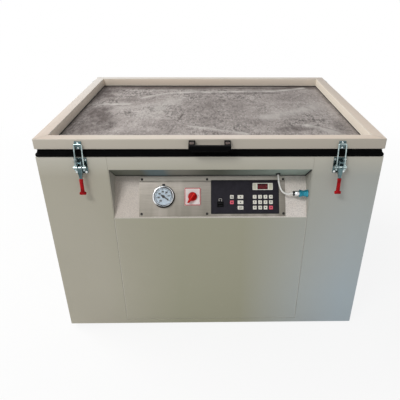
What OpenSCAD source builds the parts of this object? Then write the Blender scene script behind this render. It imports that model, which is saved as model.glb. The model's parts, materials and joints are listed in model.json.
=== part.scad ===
// Screen printing exposure unit with a vacuum lid, millimetres.
// Origin on the floor under the middle of the whole unit, front towards -Y, up +Z.

/* [Cabinet] */
// Width over the side panels
cab_w = 1000; // [940:10:1200]
// Depth from the front face to the back face
cab_d = 772; // [720:4:900]
// Height of the sheet metal body
cab_h = 646; // [600:2:760]
// Thickness of the body panels
sheet_t = 2; // [1.5:0.5:3]
// Clear height under the base tray
foot_h = 16; // [12:1:30]
// Radius of a levelling foot
foot_r = 20; // [15:1:26]
// Distance of each foot from the side and front faces
foot_inset = 80; // [60:5:120]
// Height of the front plinth
plinth_h = 18; // [12:1:60]
// Open seam beside the removable front pieces
seam = 0.5; // [0.3:0.1:1.5]

/* [Top frame and glass] */
// Width of the folded top frame
frame_w = 40; // [36:1:50]
// Height of the folded top frame
frame_h = 28; // [24:1:34]
// Thickness of the exposure glass
glass_t = 8; // [5:1:12]
// Width of the ledge under the glass
ledge_w = 14; // [8:1:20]
// Distance between the cabinet top and the lid frame
seal_gap = 23; // [18:1:30]
// Width of the sealing gasket
seal_w = 18; // [14:1:20]
// Corner radius of the gasket in plan
seal_r = 10; // [5:1:16]

/* [Lid] */
// Height of the lid frame tube
lid_h = 31; // [28:1:40]
// Width of the lid frame tube
rail_w = 34; // [30:1:42]
// Wall of the lid frame tube
tube_wall = 2; // [1.5:0.5:3]
// Thickness of the rubber blanket
blanket_t = 2; // [1:0.5:3]
// Distance between the handle's two legs
handle_pitch = 100; // [90:5:140]
// Distance of the handle's grip from the lid face
handle_reach = 31; // [28:1:40]
// Distance of the hinge axis behind the back face
hinge_out = 8; // [7:0.5:10]

/* [Control recess] */
// Width of the control recess
recess_w = 600; // [580:10:640]
// Depth of the control recess
recess_d = 70; // [60:5:90]
// Drop from the cabinet top to the recess lip
lip_drop = 41; // [36:1:60]
// Height of the sloping roof
roof_h = 53; // [45:1:65]
// Height of the sloping panel
slope_h = 110; // [104:1:130]

/* [Control panel] */
// Width of the stainless control plate
plate_w = 454; // [450:1:470]
// Radius of the gauge bezel
gauge_r = 34.75; // [33:0.25:38]
// Width of the switch escutcheon
switch_w = 50; // [46:1:54]
// Radius of the round part of the switch knob
knob_r = 13; // [11:0.5:16]
// Width of the membrane keypad
keypad_w = 212; // [208:1:220]
// Size of a square key
key_size = 12.5; // [11:0.5:14]
// Pitch of the number keys
key_pitch = 16.8; // [15:0.1:17.4]

/* [Latches] */
// Distance of each latch from the side face
latch_inset = 126; // [110:2:160]
// Distance between the two legs of the latch bow
bow_pitch = 22; // [21.6:0.2:24]
// Diameter of the bow's rod
bow_d = 4; // [3.5:0.25:5.25]
// Length of the lever from its pivot to the T grip
lever_drop = 91; // [82:1:100]

/* [Vacuum release] */
// Largest radius of the sliding sleeve
sleeve_r = 11.5; // [10.5:0.5:12.5]
// Length of the sliding sleeve
sleeve_l = 27; // [24:1:30]
// Diameter of the white air tube
tube_d = 5; // [4:0.5:7]

/* [Hidden] */
$fn = 48;
eps = 0.01;
run_gap = 0.05;
soft_gap = 0.3;

// Levels and faces of the cabinet
side_x = cab_w / 2;
front_y = -cab_d / 2;
back_y = cab_d / 2;
base_z = foot_h;
top_z = base_z + cab_h;
lid_z = top_z + seal_gap;
lid_top = lid_z + lid_h;
inner_x = side_x - sheet_t;
inner_front = front_y + sheet_t;
inner_back = back_y - sheet_t;

// Control recess in section
lip_z = top_z - lip_drop;
apex_z = lip_z - roof_h;
sill_z = apex_z - slope_h;
apex_y = front_y + recess_d;
slope_a = atan2(slope_h, recess_d);
slope_l = norm([recess_d, slope_h]);
roof_l = norm([recess_d, roof_h]);
recess_half = recess_w / 2 - seam;
cheek_x = recess_half - sheet_t;
plinth_z = base_z + plinth_h;

// Lid and its hinge
blanket_z = lid_z - blanket_t;
seal_h = seal_gap - blanket_t - soft_gap;
hinge_y = back_y + hinge_out;
hinge_z = lid_z - 1;
hinge_r = 6;
hinge_l = 90;
hinge_pin_r = 3;
hinge_inset = 180;
leaf_t = 2.5;
leaf_h = 40;
lid_leaf_h = 26;
knuckle_gap = 0.5;

// Latch pivots, measured outwards from the front face and down from the lid top
latch_x = side_x - latch_inset;
lever_pivot = [14, 68];
trunnion_pivot = [15, 81];
hook_bar = [5.4, 14];
lever_out = 9.5;
grip_n = 4.5;
lever_reach = norm([lever_out, lever_drop]);
lever_lean = atan2(lever_out, lever_drop) - asin(grip_n / lever_reach);
lever_l = sqrt(pow(lever_reach, 2) - pow(grip_n, 2));
t_grip_r = 5;
bow_lean = atan2(trunnion_pivot[0] - hook_bar[0], trunnion_pivot[1] - hook_bar[1]);
bow_l = norm(trunnion_pivot - hook_bar);
cheek_in = 5.2;
cheek_out = 6.7;
trunnion_r = 4;
lever_pin_r = 2.5;
latch_base_top = 56;
latch_base_h = 48;
latch_base_w = 36;
latch_base_t = 2;

// The whole unit reaches this far in front of and behind the cabinet's middle
handle_bar_d = 13;
front_reach = cab_d / 2 + max(lever_pivot[0] + lever_out + t_grip_r, handle_reach + handle_bar_d / 2);
back_reach = cab_d / 2 + hinge_out + hinge_r;
body_y = (front_reach - back_reach) / 2;

// Gas struts, pivots given back from the hinge axis
strut_x = side_x + 12.2;
strut_top_y = hinge_y - 74;
strut_top_z = lid_z + 4;
strut_foot_y = hinge_y - 44;
strut_foot_z = hinge_z - 164;
strut_l = norm([strut_foot_y - strut_top_y, strut_top_z - strut_foot_z]);
strut_lean = atan2(strut_foot_y - strut_top_y, strut_top_z - strut_foot_z);
strut_r = 9;
strut_body_l = 146;
strut_rod_r = 4;
strut_eye_t = 8;
strut_stud_r = 5;
strut_top_stud_r = 3;
strut_drift = 5.1;
strut_eye_bore = strut_top_stud_r + strut_drift;

// Control panel, places along the width and up the slope
plate_x = -222.5;
plate_s = 3;
plate_h = 124;
plate_t = 1.5;
window_margin = 17;
gauge_at = [-147, 64.6];
gauge_barrel_r = 30;
switch_at = [-57, 64.6];
switch_h = 55;
switch_plate_t = 3;
knob_shaft_r = 4;
knob_angle = 146;
keypad_s = 10.5;
keypad_h = 105.5;
keypad_t = 1;
key_raise = 0.6;
rocker_at = [29, 40.3];
rocker_w = 20.5;
rocker_h = 16.8;
rocker_swing_r = 6.3;
rocker_tilt = 10;
display_at = [161.2, 95.6];
display_w = 32.4;
display_h = 17.6;
number_keys_at = [136.1, 29.7];
wide_key_w = 19.3;
wide_keys_x = 91.7;
pair_keys_x = 65;
plate_screw_x = [8, 210.5, plate_w - 6];
plate_screw_s = [8.2, plate_h - 8.3];

// Hand valve, its axis above the sloping panel
valve_s = 72;
valve_n = sleeve_r + 14.5;
valve_tube_r = 7;
valve_l = sleeve_l + 21;
valve_tip_x = cheek_x - valve_l;
valve_collar = 0.8;
sleeve_travel = 5;

// Ports through the top frame, inside the gasket
port_r = 5;
port_y_back = inner_back - frame_w + 11;
port_y_front = inner_front + frame_w - 11;
port_back_x = side_x - 80;
port_front_x = valve_tip_x - 43.5;
port_flange_t = 1.2;
port_drop = 14;
roof_hole_out = 45;

// Fan, gland and inner units
fan_at = [200 - side_x, base_z + 300];
fan_size = 120;
fan_depth = 38;
fan_bore_r = 57;
gland_at = [side_x - 100, base_z + 80];
gland_bore_r = 4.5;
gland_body_r = 10;
lamp_y = 30;
reflector_r = 150;
reflector_l = 0.32 * cab_w;
reflector_t = 1.5;
cradle_z = base_z + 110;
pump_at = [side_x - 110, inner_back - 134];
pump_outlet_h = 190;
hose_r = 7;

module placed() {
    translate([0, body_y, 0]) children();
}

module at_panel() {
    placed() translate([0, front_y, sill_z]) rotate([slope_a, 0, 0]) children();
}

module at_plate(at) {
    at_panel() translate([at[0], at[1], plate_t]) children();
}

module pair_x(x) {
    for (side = [-1, 1]) translate([side * x, 0, 0]) children();
}

module box_ring(outer, inner, z0, z1) {
    difference() {
        translate([-outer[0], -outer[1], z0]) cube([2 * outer[0], 2 * outer[1], z1 - z0]);
        translate([-inner[0], -inner[1], z0 - 1]) cube([2 * inner[0], 2 * inner[1], z1 - z0 + 2]);
    }
}

module rounded_rect(half_w, half_d, r) {
    square([2 * (half_w - r), 2 * half_d], center = true);
    square([2 * half_w, 2 * (half_d - r)], center = true);
    for (sx = [-1, 1], sy = [-1, 1])
        translate([sx * (half_w - r), sy * (half_d - r)]) circle(r);
}

// A polygon given as [outwards or back, up] pairs, drawn out along X
module along_x(length) {
    translate([-length / 2, 0, 0]) rotate([90, 0, 90]) linear_extrude(length) children();
}

module rod_x(r, length) {
    translate([-length / 2, 0, 0]) rotate([0, 90, 0]) cylinder(r = r, h = length);
}

// Cabinet

module base_tray() {
    flange_h = plinth_h - 1;
    color("#a9a498") placed() difference() {
        translate([-inner_x, inner_front, base_z])
            cube([2 * inner_x, inner_back - inner_front, flange_h]);
        translate([-inner_x + sheet_t, inner_front + sheet_t, base_z + sheet_t])
            cube([2 * (inner_x - sheet_t), inner_back - inner_front - 2 * sheet_t, flange_h]);
        foot_places() cylinder(r = 5 + run_gap, h = 2 * (base_z + 2 * sheet_t), center = true);
    }
}

module side_panel() {
    color("#b5b0a2") translate([0, inner_front, base_z])
        cube([sheet_t, back_y - inner_front, cab_h]);
}

module left_side_panel() placed() translate([-side_x, 0, 0]) side_panel();

module right_side_panel() placed() translate([inner_x, 0, 0]) side_panel();

module front_frame() {
    color("#b5b0a2") placed() translate([0, front_y, 0]) difference() {
        translate([-side_x, 0, base_z]) cube([cab_w, sheet_t, cab_h]);
        translate([-recess_w / 2, -1, plinth_z]) cube([recess_w, sheet_t + 2, cab_h]);
        for (side = [-1, 1], bolt = latch_bolt_places)
            translate([side * latch_x + bolt[0], 0, lid_top - bolt[1]])
                rotate([90, 0, 0]) cylinder(r = 2.2, h = 4 * sheet_t, center = true);
    }
}

module back_panel() {
    slot_w = 90;
    slot_pitch = 16;
    slot_count = 8;
    slot_x = side_x - 320;
    slot_z = base_z + 240;
    color("#b5b0a2") placed() translate([0, inner_back, 0]) difference() {
        translate([-inner_x, 0, base_z]) cube([2 * inner_x, sheet_t, cab_h]);
        translate([fan_at[0], 0, fan_at[1]]) rotate([90, 0, 0])
            cylinder(r = fan_bore_r, h = 4 * sheet_t, center = true);
        translate([gland_at[0], 0, gland_at[1]]) rotate([90, 0, 0])
            cylinder(r = gland_body_r - 2, h = 4 * sheet_t, center = true);
        for (column = [0, 1], row = [0:slot_count - 1])
            translate([slot_x + column * (slot_w + 20), -1, slot_z + row * slot_pitch])
                cube([slot_w, sheet_t + 2, 5]);
    }
}

// Visible line of the recess from the cabinet top to the sill, and the same line one sheet inside
function inward(p, a, b) = p + sheet_t * (a + b) / (1 + a * b);
strip_normal = [1, 0];
roof_normal = [roof_h, recess_d] / roof_l;
slope_normal = [slope_h, -recess_d] / slope_l;
lip_point = [front_y, lip_z];
apex_point = [apex_y, apex_z];
sill_point = [front_y, sill_z];

module recess_housing() {
    section = [
        [front_y, top_z], lip_point, apex_point, sill_point,
        [front_y + sheet_t / sin(slope_a), sill_z],
        inward(apex_point, roof_normal, slope_normal),
        inward(lip_point, strip_normal, roof_normal),
        [front_y + sheet_t, top_z]
    ];
    window_w = plate_w - 2 * window_margin;
    window_h = plate_h - 2 * window_margin;
    color("#b8b1a6") placed() difference() {
        union() {
            along_x(2 * recess_half) polygon(section);
            for (side = [-1, 1])
                translate([side * (recess_half - sheet_t / 2), 0, 0])
                    along_x(sheet_t) polygon([lip_point, apex_point, sill_point]);
        }
        translate([0, front_y, sill_z]) rotate([slope_a, 0, 0]) {
            translate([plate_x + window_margin, plate_s + window_margin, -20])
                cube([window_w, window_h, 30]);
            screw_places() cylinder(r = 1.95, h = 20, center = true);
            translate([recess_half, valve_s, valve_n]) rod_x(5.5 + run_gap, 20);
        }
        translate([port_front_x, front_y + roof_hole_out, apex_z])
            cylinder(r = tube_d / 2 + 1, h = roof_h);
    }
}

module access_panel() {
    panel_z = plinth_z + seam;
    panel_h = sill_z - seam - panel_z;
    fold = 14;
    color("#b5b0a2") placed() translate([-recess_half, front_y, panel_z]) difference() {
        cube([2 * recess_half, fold, panel_h]);
        translate([sheet_t, sheet_t, sheet_t])
            cube([2 * (recess_half - sheet_t), fold, panel_h - 2 * sheet_t]);
    }
}

module top_frame() {
    wall = 3;
    half = [inner_x, cab_d / 2 - sheet_t];
    rim = half - [frame_w, frame_w];
    color("#3c3c3e") placed() difference() {
        box_ring(half, rim - [ledge_w, ledge_w], top_z - frame_h, top_z);
        translate([-rim[0], -rim[1], top_z - glass_t]) cube([2 * rim[0], 2 * rim[1], frame_h]);
        translate([-rim[0], -rim[1], top_z - 2 * frame_h])
            cube([2 * rim[0], 2 * rim[1], 2 * frame_h - glass_t - wall]);
        box_ring(half - [wall, wall], rim + [wall, wall], top_z - 2 * frame_h, top_z - wall);
        translate([port_back_x, port_y_back, 0]) cylinder(r = port_r + run_gap, h = 2 * top_z);
        translate([port_front_x, port_y_front, 0]) cylinder(r = port_r + run_gap, h = 2 * top_z);
    }
}

module exposure_glass() {
    edge_gap = 1.5;
    half = [inner_x - frame_w - edge_gap, cab_d / 2 - sheet_t - frame_w - edge_gap];
    color("#a8c8c4", 0.4) placed() translate([-half[0], -half[1], top_z - glass_t])
        cube([2 * half[0], 2 * half[1], glass_t]);
}

module seal_gasket() {
    inset = 1;
    inner_r = 3;
    half = [side_x - inset, cab_d / 2 - inset];
    color("#141414") placed() translate([0, 0, top_z]) linear_extrude(seal_h) difference() {
        rounded_rect(half[0], half[1], seal_r);
        rounded_rect(half[0] - seal_w, half[1] - seal_w, inner_r);
    }
}

module foot_places() {
    for (sx = [-1, 1], sy = [-1, 1])
        translate([sx * (side_x - foot_inset), sy * (cab_d / 2 - foot_inset), 0]) children();
}

module levelling_feet() {
    color("#2b2b2b") placed() foot_places() {
        rotate_extrude() polygon([
            [0, 0], [foot_r, 0], [foot_r, 4], [10, 8], [5, 9], [5, base_z + 14], [0, base_z + 14]
        ]);
        translate([0, 0, base_z - 5]) difference() {
            cylinder(r = 9, h = 5, $fn = 6);
            translate([0, 0, -1]) cylinder(r = 5 + run_gap, h = 7);
        }
    }
}

// Control panel

module screw_places() {
    for (x = plate_screw_x, s = plate_screw_s)
        translate([plate_x + x, plate_s + s, 0]) children();
}

module control_plate() {
    color("#b9b6ae") at_panel() difference() {
        translate([plate_x, plate_s, 0]) cube([plate_w, plate_h, plate_t]);
        translate([gauge_at[0], gauge_at[1], -1]) cylinder(r = gauge_barrel_r + 0.3, h = 5);
        translate([switch_at[0], switch_at[1], -1]) cylinder(r = 11, h = 5);
        translate([rocker_at[0], rocker_at[1], 0])
            cube([rocker_w - 1.8, rocker_h - 1.8, 5], center = true);
        translate([display_at[0], display_at[1], 0]) cube([display_w, display_h, 5], center = true);
        screw_places() cylinder(r = 2.1, h = 5, center = true);
    }
}

module plate_screws() {
    color("#8f8c86") at_panel() translate([0, 0, plate_t]) screw_places() rotate_extrude()
        polygon([[0, -9], [1.9, -9], [1.9, 0], [4, 0], [3.6, 1.4], [2.2, 2.2], [0, 2.4]]);
}

gauge_shoulder = 1.2;
gauge_seat = 8.6;
arbor_r = 1.2;

module gauge_case() {
    color("#c9c9c6") at_plate(gauge_at) rotate_extrude($fn = 96) polygon([
        [0, -32], [gauge_barrel_r, -32], [gauge_barrel_r, 0], [gauge_r, 0], [gauge_r, 6],
        [gauge_r - 1.6, 9.4], [gauge_r - 4, 10], [gauge_r - 5.4, 9.6], [gauge_r - 5.4, gauge_seat],
        [gauge_r - 4.2, gauge_seat], [gauge_r - 4.2, gauge_shoulder], [27.5, gauge_shoulder],
        [27.5, -30], [6, -30], [6, -1.5], [arbor_r + run_gap, -1.5], [arbor_r + run_gap, -8], [0, -8]
    ]);
    color("#b08d57") at_plate(gauge_at) translate([0, 0, -46]) difference() {
        cylinder(r = 7, h = 14, $fn = 6);
        translate([0, 0, -1]) cylinder(r = 2.5, h = 12);
    }
}

module gauge_dial() {
    color("#e9eff0") at_plate(gauge_at) translate([0, 0, gauge_shoulder]) difference() {
        cylinder(r = gauge_r - 4.25, h = 0.8, $fn = 96);
        translate([0, 0, -1]) cylinder(r = 1.5, h = 3);
    }
}

module gauge_lens() {
    color("#dfe9ea", 0.3) at_plate(gauge_at) translate([0, 0, gauge_seat - 2])
        cylinder(r = gauge_r - 4.25, h = 2, $fn = 96);
}

// Pointer rests at the zero mark, low on the right
needle_angle = -35;

module gauge_needle() {
    color("#161616") at_plate(gauge_at) {
        translate([0, 0, -6]) cylinder(r = arbor_r, h = 10);
        translate([0, 0, 3.4]) cylinder(r = 3, h = 1.2);
        translate([0, 0, 3.7]) rotate([0, 0, needle_angle]) linear_extrude(0.6)
            polygon([[-11, -1.4], [0, -1.1], [23, -0.35], [23, 0.35], [0, 1.1], [-11, 1.4]]);
    }
}

module rotary_switch_body() {
    body = 44;
    color("#e6dcd8") at_plate(switch_at) difference() {
        union() {
            translate([-switch_w / 2, -switch_h / 2, 0]) cube([switch_w, switch_h, switch_plate_t]);
            translate([0, 0, -plate_t]) cylinder(r = 10.9, h = plate_t);
            translate([-body / 2, -body / 2, -plate_t - 52]) cube([body, body, 52]);
        }
        translate([0, 0, -30]) cylinder(r = knob_shaft_r + run_gap, h = 40);
    }
}

module switch_knob() {
    lift = switch_plate_t + 0.3;
    color("#c8202c") at_plate(switch_at) {
        translate([0, 0, -24]) cylinder(r = knob_shaft_r, h = 30);
        translate([0, 0, lift]) cylinder(r = knob_r, h = 7);
        translate([0, 0, lift + 6.9]) rotate([0, 0, knob_angle]) linear_extrude(11)
            polygon([[-4.6, -12], [4.6, -12], [4.4, 12], [2.2, 24.5], [-2.2, 24.5], [-4.4, 12]]);
    }
}

module keys_at(places, w) {
    for (place = places)
        translate([place[0] - w / 2, place[1] - key_size / 2, keypad_t]) cube([w, key_size, key_raise]);
}

module keypad_overlay() {
    rows = [for (row = [0:2]) number_keys_at[1] + row * key_pitch];
    numbers = [for (column = [0:3], s = rows) [number_keys_at[0] + column * key_pitch, s]];
    wide = [for (s = rows) [wide_keys_x, s]];
    pair = [for (row = [1, 2]) [pair_keys_x, rows[row]]];
    frame_edge = [15, 2];
    color("#332f3b") at_panel() translate([0, 0, plate_t]) difference() {
        union() {
            translate([0, keypad_s, 0]) cube([keypad_w, keypad_h, keypad_t]);
            keys_at(numbers, key_size);
            keys_at(pair, key_size);
            keys_at(wide, wide_key_w);
            translate([display_at[0] - display_w / 2 - frame_edge[0],
                       display_at[1] - display_h / 2 - frame_edge[1], 0])
                cube([display_w + 2 * frame_edge[0], display_h + 2 * frame_edge[1], keypad_t + 0.3]);
        }
        translate([rocker_at[0], rocker_at[1], 0])
            cube([rocker_w - 1.8, rocker_h - 1.8, 5], center = true);
        translate([display_at[0], display_at[1], 0]) cube([display_w, display_h, 5], center = true);
    }
}

module display_window() {
    fit = 0.1;
    color("#7e1c22") at_plate(display_at)
        translate([-display_w / 2 + fit, -display_h / 2 + fit, -8])
            cube([display_w - 2 * fit, display_h - 2 * fit, 8 + keypad_t]);
}

rocker_pivot_n = keypad_t + 0.4;
rocker_pin_r = 1.2;

module rocker_frame() {
    body_w = rocker_w - 2;
    body_h = rocker_h - 2;
    pocket_w = 16.4;
    color("#161616") at_plate(rocker_at) difference() {
        union() {
            translate([-rocker_w / 2, -rocker_h / 2, keypad_t]) cube([rocker_w, rocker_h, 2]);
            translate([-body_w / 2, -body_h / 2, keypad_t - 22]) cube([body_w, body_h, 22]);
        }
        translate([-pocket_w / 2, -rocker_swing_r - 0.2, rocker_pivot_n - rocker_swing_r - 0.7])
            cube([pocket_w, 2 * rocker_swing_r + 0.4, 20]);
        translate([0, 0, rocker_pivot_n]) rod_x(rocker_pin_r + run_gap, pocket_w + 1.6);
    }
}

module rocker_paddle() {
    valley = 2.4;
    edge = 5.2;
    color("#1c1c1e") at_plate(rocker_at) translate([0, 0, rocker_pivot_n])
        rotate([-rocker_tilt, 0, 0]) {
            along_x(16) intersection() {
                circle(rocker_swing_r);
                polygon([[-7, -2.5], [7, -2.5], [7, edge], [0, valley], [-7, edge]]);
            }
            rod_x(rocker_pin_r, 17.6);
        }
}

// Vacuum release valve, from the right cheek towards the keypad
module at_valve() {
    at_panel() translate([cheek_x, valve_s, valve_n]) rotate([0, -90, 0]) children();
}

module valve_body() {
    shoulder_from = valve_collar + sleeve_l + sleeve_travel + 0.6;
    color("#c4c6c8") at_valve() {
        rotate_extrude() polygon([
            [0, -16], [5.5, -16], [5.5, -1], [5.5, 0], [9, 0], [9, valve_collar],
            [valve_tube_r, valve_collar], [valve_tube_r, shoulder_from], [8.4, shoulder_from],
            [8.4, shoulder_from + 1.5], [6.2, valve_l - 5], [6.2, valve_l], [0, valve_l]
        ]);
        translate([0, 0, -sheet_t - 5]) difference() {
            cylinder(r = 9, h = 5, $fn = 6);
            translate([0, 0, -1]) cylinder(r = 5.5 + run_gap, h = 7);
        }
    }
}

function sleeve_wall(t) = sleeve_r - 2.4 * pow(sin(180 * t), 2);

module valve_sleeve() {
    steps = 10;
    outer = [for (i = [0:steps]) [sleeve_wall(i / steps), 0.6 + (sleeve_l - 1.2) * i / steps]];
    color("#1aa6c8") at_valve() translate([0, 0, valve_collar + 0.1]) rotate_extrude()
        polygon(concat(
            [[valve_tube_r + run_gap, 0], [sleeve_r - 0.7, 0]], outer,
            [[sleeve_r - 0.7, sleeve_l], [valve_tube_r + run_gap, sleeve_l]]
        ));
}

// Tubes swept along chosen points

function unit(v) = v / norm(v);
function route_dir(p, i) = unit(p[min(i + 1, len(p) - 1)] - p[max(i - 1, 0)]);
function catmull(a, b, c, d, t) =
    0.5 * ((2 * b) + (c - a) * t + (2 * a - 5 * b + 4 * c - d) * t * t
           + (3 * b - a - 3 * c + d) * t * t * t);
// The first and the last length stay straight
function smooth_route(p, n) = concat(
    [p[0]],
    [for (i = [1:len(p) - 3], k = [0:n - 1]) catmull(p[i - 1], p[i], p[i + 1], p[i + 2], k / n)],
    [p[len(p) - 2], p[len(p) - 1]]
);
function side_of(d, up) = unit(cross(d, up));

module swept_tube(route, r, sides, up) {
    rings = [for (i = [0:len(route) - 1])
        let (d = route_dir(route, i), u = side_of(d, up), v = cross(u, d))
        for (k = [0:sides - 1])
            route[i] + r * (cos(360 * k / sides) * u + sin(360 * k / sides) * v)];
    count = len(route);
    walls = [for (i = [0:count - 2], k = [0:sides - 1])
        let (a = i * sides + k, b = i * sides + (k + 1) % sides)
        each [[a, a + sides, b], [b, a + sides, b + sides]]];
    first = [for (k = [1:sides - 2]) [0, k, k + 1]];
    base = (count - 1) * sides;
    last = [for (k = [1:sides - 2]) [base, base + k + 1, base + k]];
    polyhedron(rings, concat(walls, first, last));
}

valve_axis_y = front_y + valve_s * cos(slope_a) - valve_n * sin(slope_a);
valve_axis_z = sill_z + valve_s * sin(slope_a) + valve_n * cos(slope_a);

// Air tube from the valve tip up through the recess roof to the front port
module vent_tube() {
    hole_y = front_y + roof_hole_out;
    hole_z = apex_z + roof_h * (1 - roof_hole_out / recess_d);
    tip = [valve_tip_x, valve_axis_y, valve_axis_z];
    route = [
        tip, tip + [-6, 0, 0], tip + [-13, 0, -2.6], tip + [-22, 1.3, -1], tip + [-31.6, 5.3, 5],
        tip + [-37.7, 11.3, 16.1], tip + [-40.7, 19.3, 27.2],
        [port_front_x + 1.5, hole_y - 3, hole_z - 17], [port_front_x, hole_y, hole_z - 5],
        [port_front_x, hole_y, hole_z + 6], [port_front_x, hole_y - 3, hole_z + 17],
        [port_front_x, port_y_front, top_z - port_drop - 20],
        [port_front_x, port_y_front, top_z - port_drop - 9],
        [port_front_x, port_y_front, top_z - port_drop]
    ];
    color("#f1efe8") placed() swept_tube(smooth_route(route, 3), tube_d / 2, 8, [0.2, 1, 0.1]);
}

module port_at(x, y) {
    translate([x, y, top_z]) rotate_extrude() polygon([
        [2, -port_drop], [port_r, -port_drop], [port_r, 0], [8, 0], [8, port_flange_t],
        [2, port_flange_t]
    ]);
}

module vacuum_ports() {
    color("#b08d57") placed() {
        port_at(port_back_x, port_y_back);
        port_at(port_front_x, port_y_front);
    }
}

module vacuum_hose() {
    start = [pump_at[0], pump_at[1], base_z + pump_outlet_h];
    finish = [port_back_x, port_y_back, top_z - port_drop];
    route = [
        start, start + [0, 0, 20], start + [2, 12, 80], start + [10, 40, 160],
        start + [22, 74, 250], finish - [0, 4, 90], finish - [0, 0, 24], finish
    ];
    color("#c9cdd0") placed() swept_tube(smooth_route(route, 3), hose_r, 12, [1, 0.1, 0]);
}

// Units on the base tray

module lamp_cradle() {
    half_l = reflector_l / 2 + 30;
    depth = 220;
    leg_z = base_z + sheet_t;
    foot = 24;
    color("#8f9293") placed() translate([0, lamp_y + depth / 2, 0]) rotate([90, 0, 0])
        linear_extrude(depth) polygon([
            [-half_l - foot, leg_z], [-half_l + sheet_t, leg_z], [-half_l + sheet_t, cradle_z - sheet_t],
            [half_l - sheet_t, cradle_z - sheet_t], [half_l - sheet_t, leg_z], [half_l + foot, leg_z],
            [half_l + foot, leg_z + sheet_t], [half_l, leg_z + sheet_t], [half_l, cradle_z],
            [-half_l, cradle_z], [-half_l, leg_z + sheet_t], [-half_l - foot, leg_z + sheet_t]
        ]);
}

module reflector_section(r_out, r_in) {
    translate([0, reflector_r]) difference() {
        circle(r_out, $fn = 96);
        circle(r_in, $fn = 96);
        translate([-r_out, -reflector_r / 2]) square([2 * r_out, 2 * r_out]);
    }
}

module lamp_reflector() {
    color("#d9dcdd") placed() translate([0, lamp_y, cradle_z]) {
        along_x(reflector_l) reflector_section(reflector_r, reflector_r - reflector_t);
        pair_x(reflector_l / 2 - reflector_t / 2)
            along_x(reflector_t) reflector_section(reflector_r - reflector_t, 1);
    }
}

lamp_z = cradle_z + 55;
holder_l = 22;
holder_x = reflector_l / 2 - reflector_t - holder_l;

module lamp_holders() {
    color("#ece7da") placed() translate([0, lamp_y, 0]) for (side = [-1, 1]) difference() {
        translate([side * (holder_x + holder_l / 2) - holder_l / 2, -14, lamp_z - 20])
            cube([holder_l, 28, 34]);
        translate([side * holder_x, 0, lamp_z]) rod_x(7 + run_gap, 16);
    }
}

module lamp_tube() {
    cap_end = holder_x + 7.5;
    color("#e8eef2", 0.5) placed() translate([-cap_end, lamp_y, lamp_z]) rotate([0, 90, 0])
        rotate_extrude() polygon([
            [0, 0], [7, 0], [7, 20], [3, 21], [3, 30], [8, 33], [10, 38], [10, 2 * cap_end - 38],
            [8, 2 * cap_end - 33], [3, 2 * cap_end - 30], [3, 2 * cap_end - 21],
            [7, 2 * cap_end - 20], [7, 2 * cap_end], [0, 2 * cap_end]
        ]);
}

module control_gear() {
    base = [110, 190, 4];
    body = [100, 150, 90];
    fin = [90, 8, 10];
    fin_pitch = 24;
    color("#4a4f55") placed() translate([-side_x + 90, -60, base_z + sheet_t]) {
        cube(base);
        translate([(base[0] - body[0]) / 2, (base[1] - body[1]) / 2, base[2]]) cube(body);
        for (i = [0:5]) translate([(base[0] - fin[0]) / 2, 30 + fin_pitch * i, base[2] + body[2]]) cube(fin);
    }
}

module vacuum_pump() {
    foot_z = base_z + sheet_t;
    pad_h = 12;
    plate = [104, 225, 5];
    plate_y = 10 - plate[1];
    motor_r = 57;
    motor_l = 160;
    head = [90, 56, 138];
    neck_h = 160;
    color("#5c6468") placed() translate([pump_at[0], pump_at[1], foot_z]) {
        for (sx = [-1, 1], end = [25, plate[1] - 30])
            translate([sx * (plate[0] / 2 - 16), plate_y + end, 0]) cylinder(r = 10, h = pad_h);
        translate([-plate[0] / 2, plate_y, pad_h]) cube(plate);
        translate([0, plate_y + 10, pad_h + plate[2] + motor_r])
            rotate([-90, 0, 0]) cylinder(r = motor_r, h = motor_l);
        translate([-head[0] / 2, 10 - head[1], pad_h + plate[2]]) cube(head);
        cylinder(r = 12, h = neck_h);
        cylinder(r = hose_r, h = pump_outlet_h - sheet_t);
    }
}

// Back panel fittings

module fan_frame() {
    hub_r = 22;
    color("#1d1d1f") placed() translate([fan_at[0], inner_back, fan_at[1]]) rotate([90, 0, 0]) {
        difference() {
            translate([-fan_size / 2, -fan_size / 2, 0]) cube([fan_size, fan_size, fan_depth]);
            translate([0, 0, -1]) cylinder(r = fan_bore_r, h = fan_depth + 2);
        }
        translate([0, 0, fan_depth - 8]) difference() {
            union() {
                cylinder(r = hub_r, h = 8);
                for (i = [0:3]) rotate([0, 0, 45 + 90 * i]) translate([0, -4, 0])
                    cube([fan_bore_r + 3, 8, 5]);
            }
            translate([0, 0, -1]) cylinder(r = 4 + run_gap, h = 6);
        }
    }
}

module fan_rotor() {
    blades = 7;
    hub_r = 24;
    color("#2a2a2c") placed() translate([fan_at[0], inner_back, fan_at[1]]) rotate([90, 0, 0]) {
        translate([0, 0, 5]) cylinder(r = hub_r, h = fan_depth - 14);
        translate([0, 0, fan_depth - 10]) cylinder(r = 4, h = 5);
        intersection() {
            translate([0, 0, 4]) cylinder(r = fan_bore_r - 2, h = fan_depth - 14);
            for (i = [0:blades - 1]) rotate([0, 0, 360 * i / blades])
                translate([hub_r - 3, -14, fan_depth / 2 - 4]) rotate([38, 0, 0])
                    translate([0, -3, -1]) cube([fan_bore_r, 34, 2]);
        }
    }
}

module fan_guard() {
    wire_r = 1.2;
    spoke_r = 1;
    rings = [16, 28, 40, 52];
    arm = 68;
    color("#c6c8c9") placed() translate([fan_at[0], back_y, fan_at[1]]) rotate([-90, 0, 0]) {
        for (r = rings) translate([0, 0, 3]) rotate_extrude() translate([r, 0]) circle(wire_r);
        for (i = [0:3]) rotate([0, 0, 45 + 90 * i]) {
            translate([12, 0, 1.6]) rotate([0, 90, 0]) cylinder(r = spoke_r, h = arm - 12);
            translate([arm, 0, 0]) cylinder(r = 4, h = 4);
        }
    }
}

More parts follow.
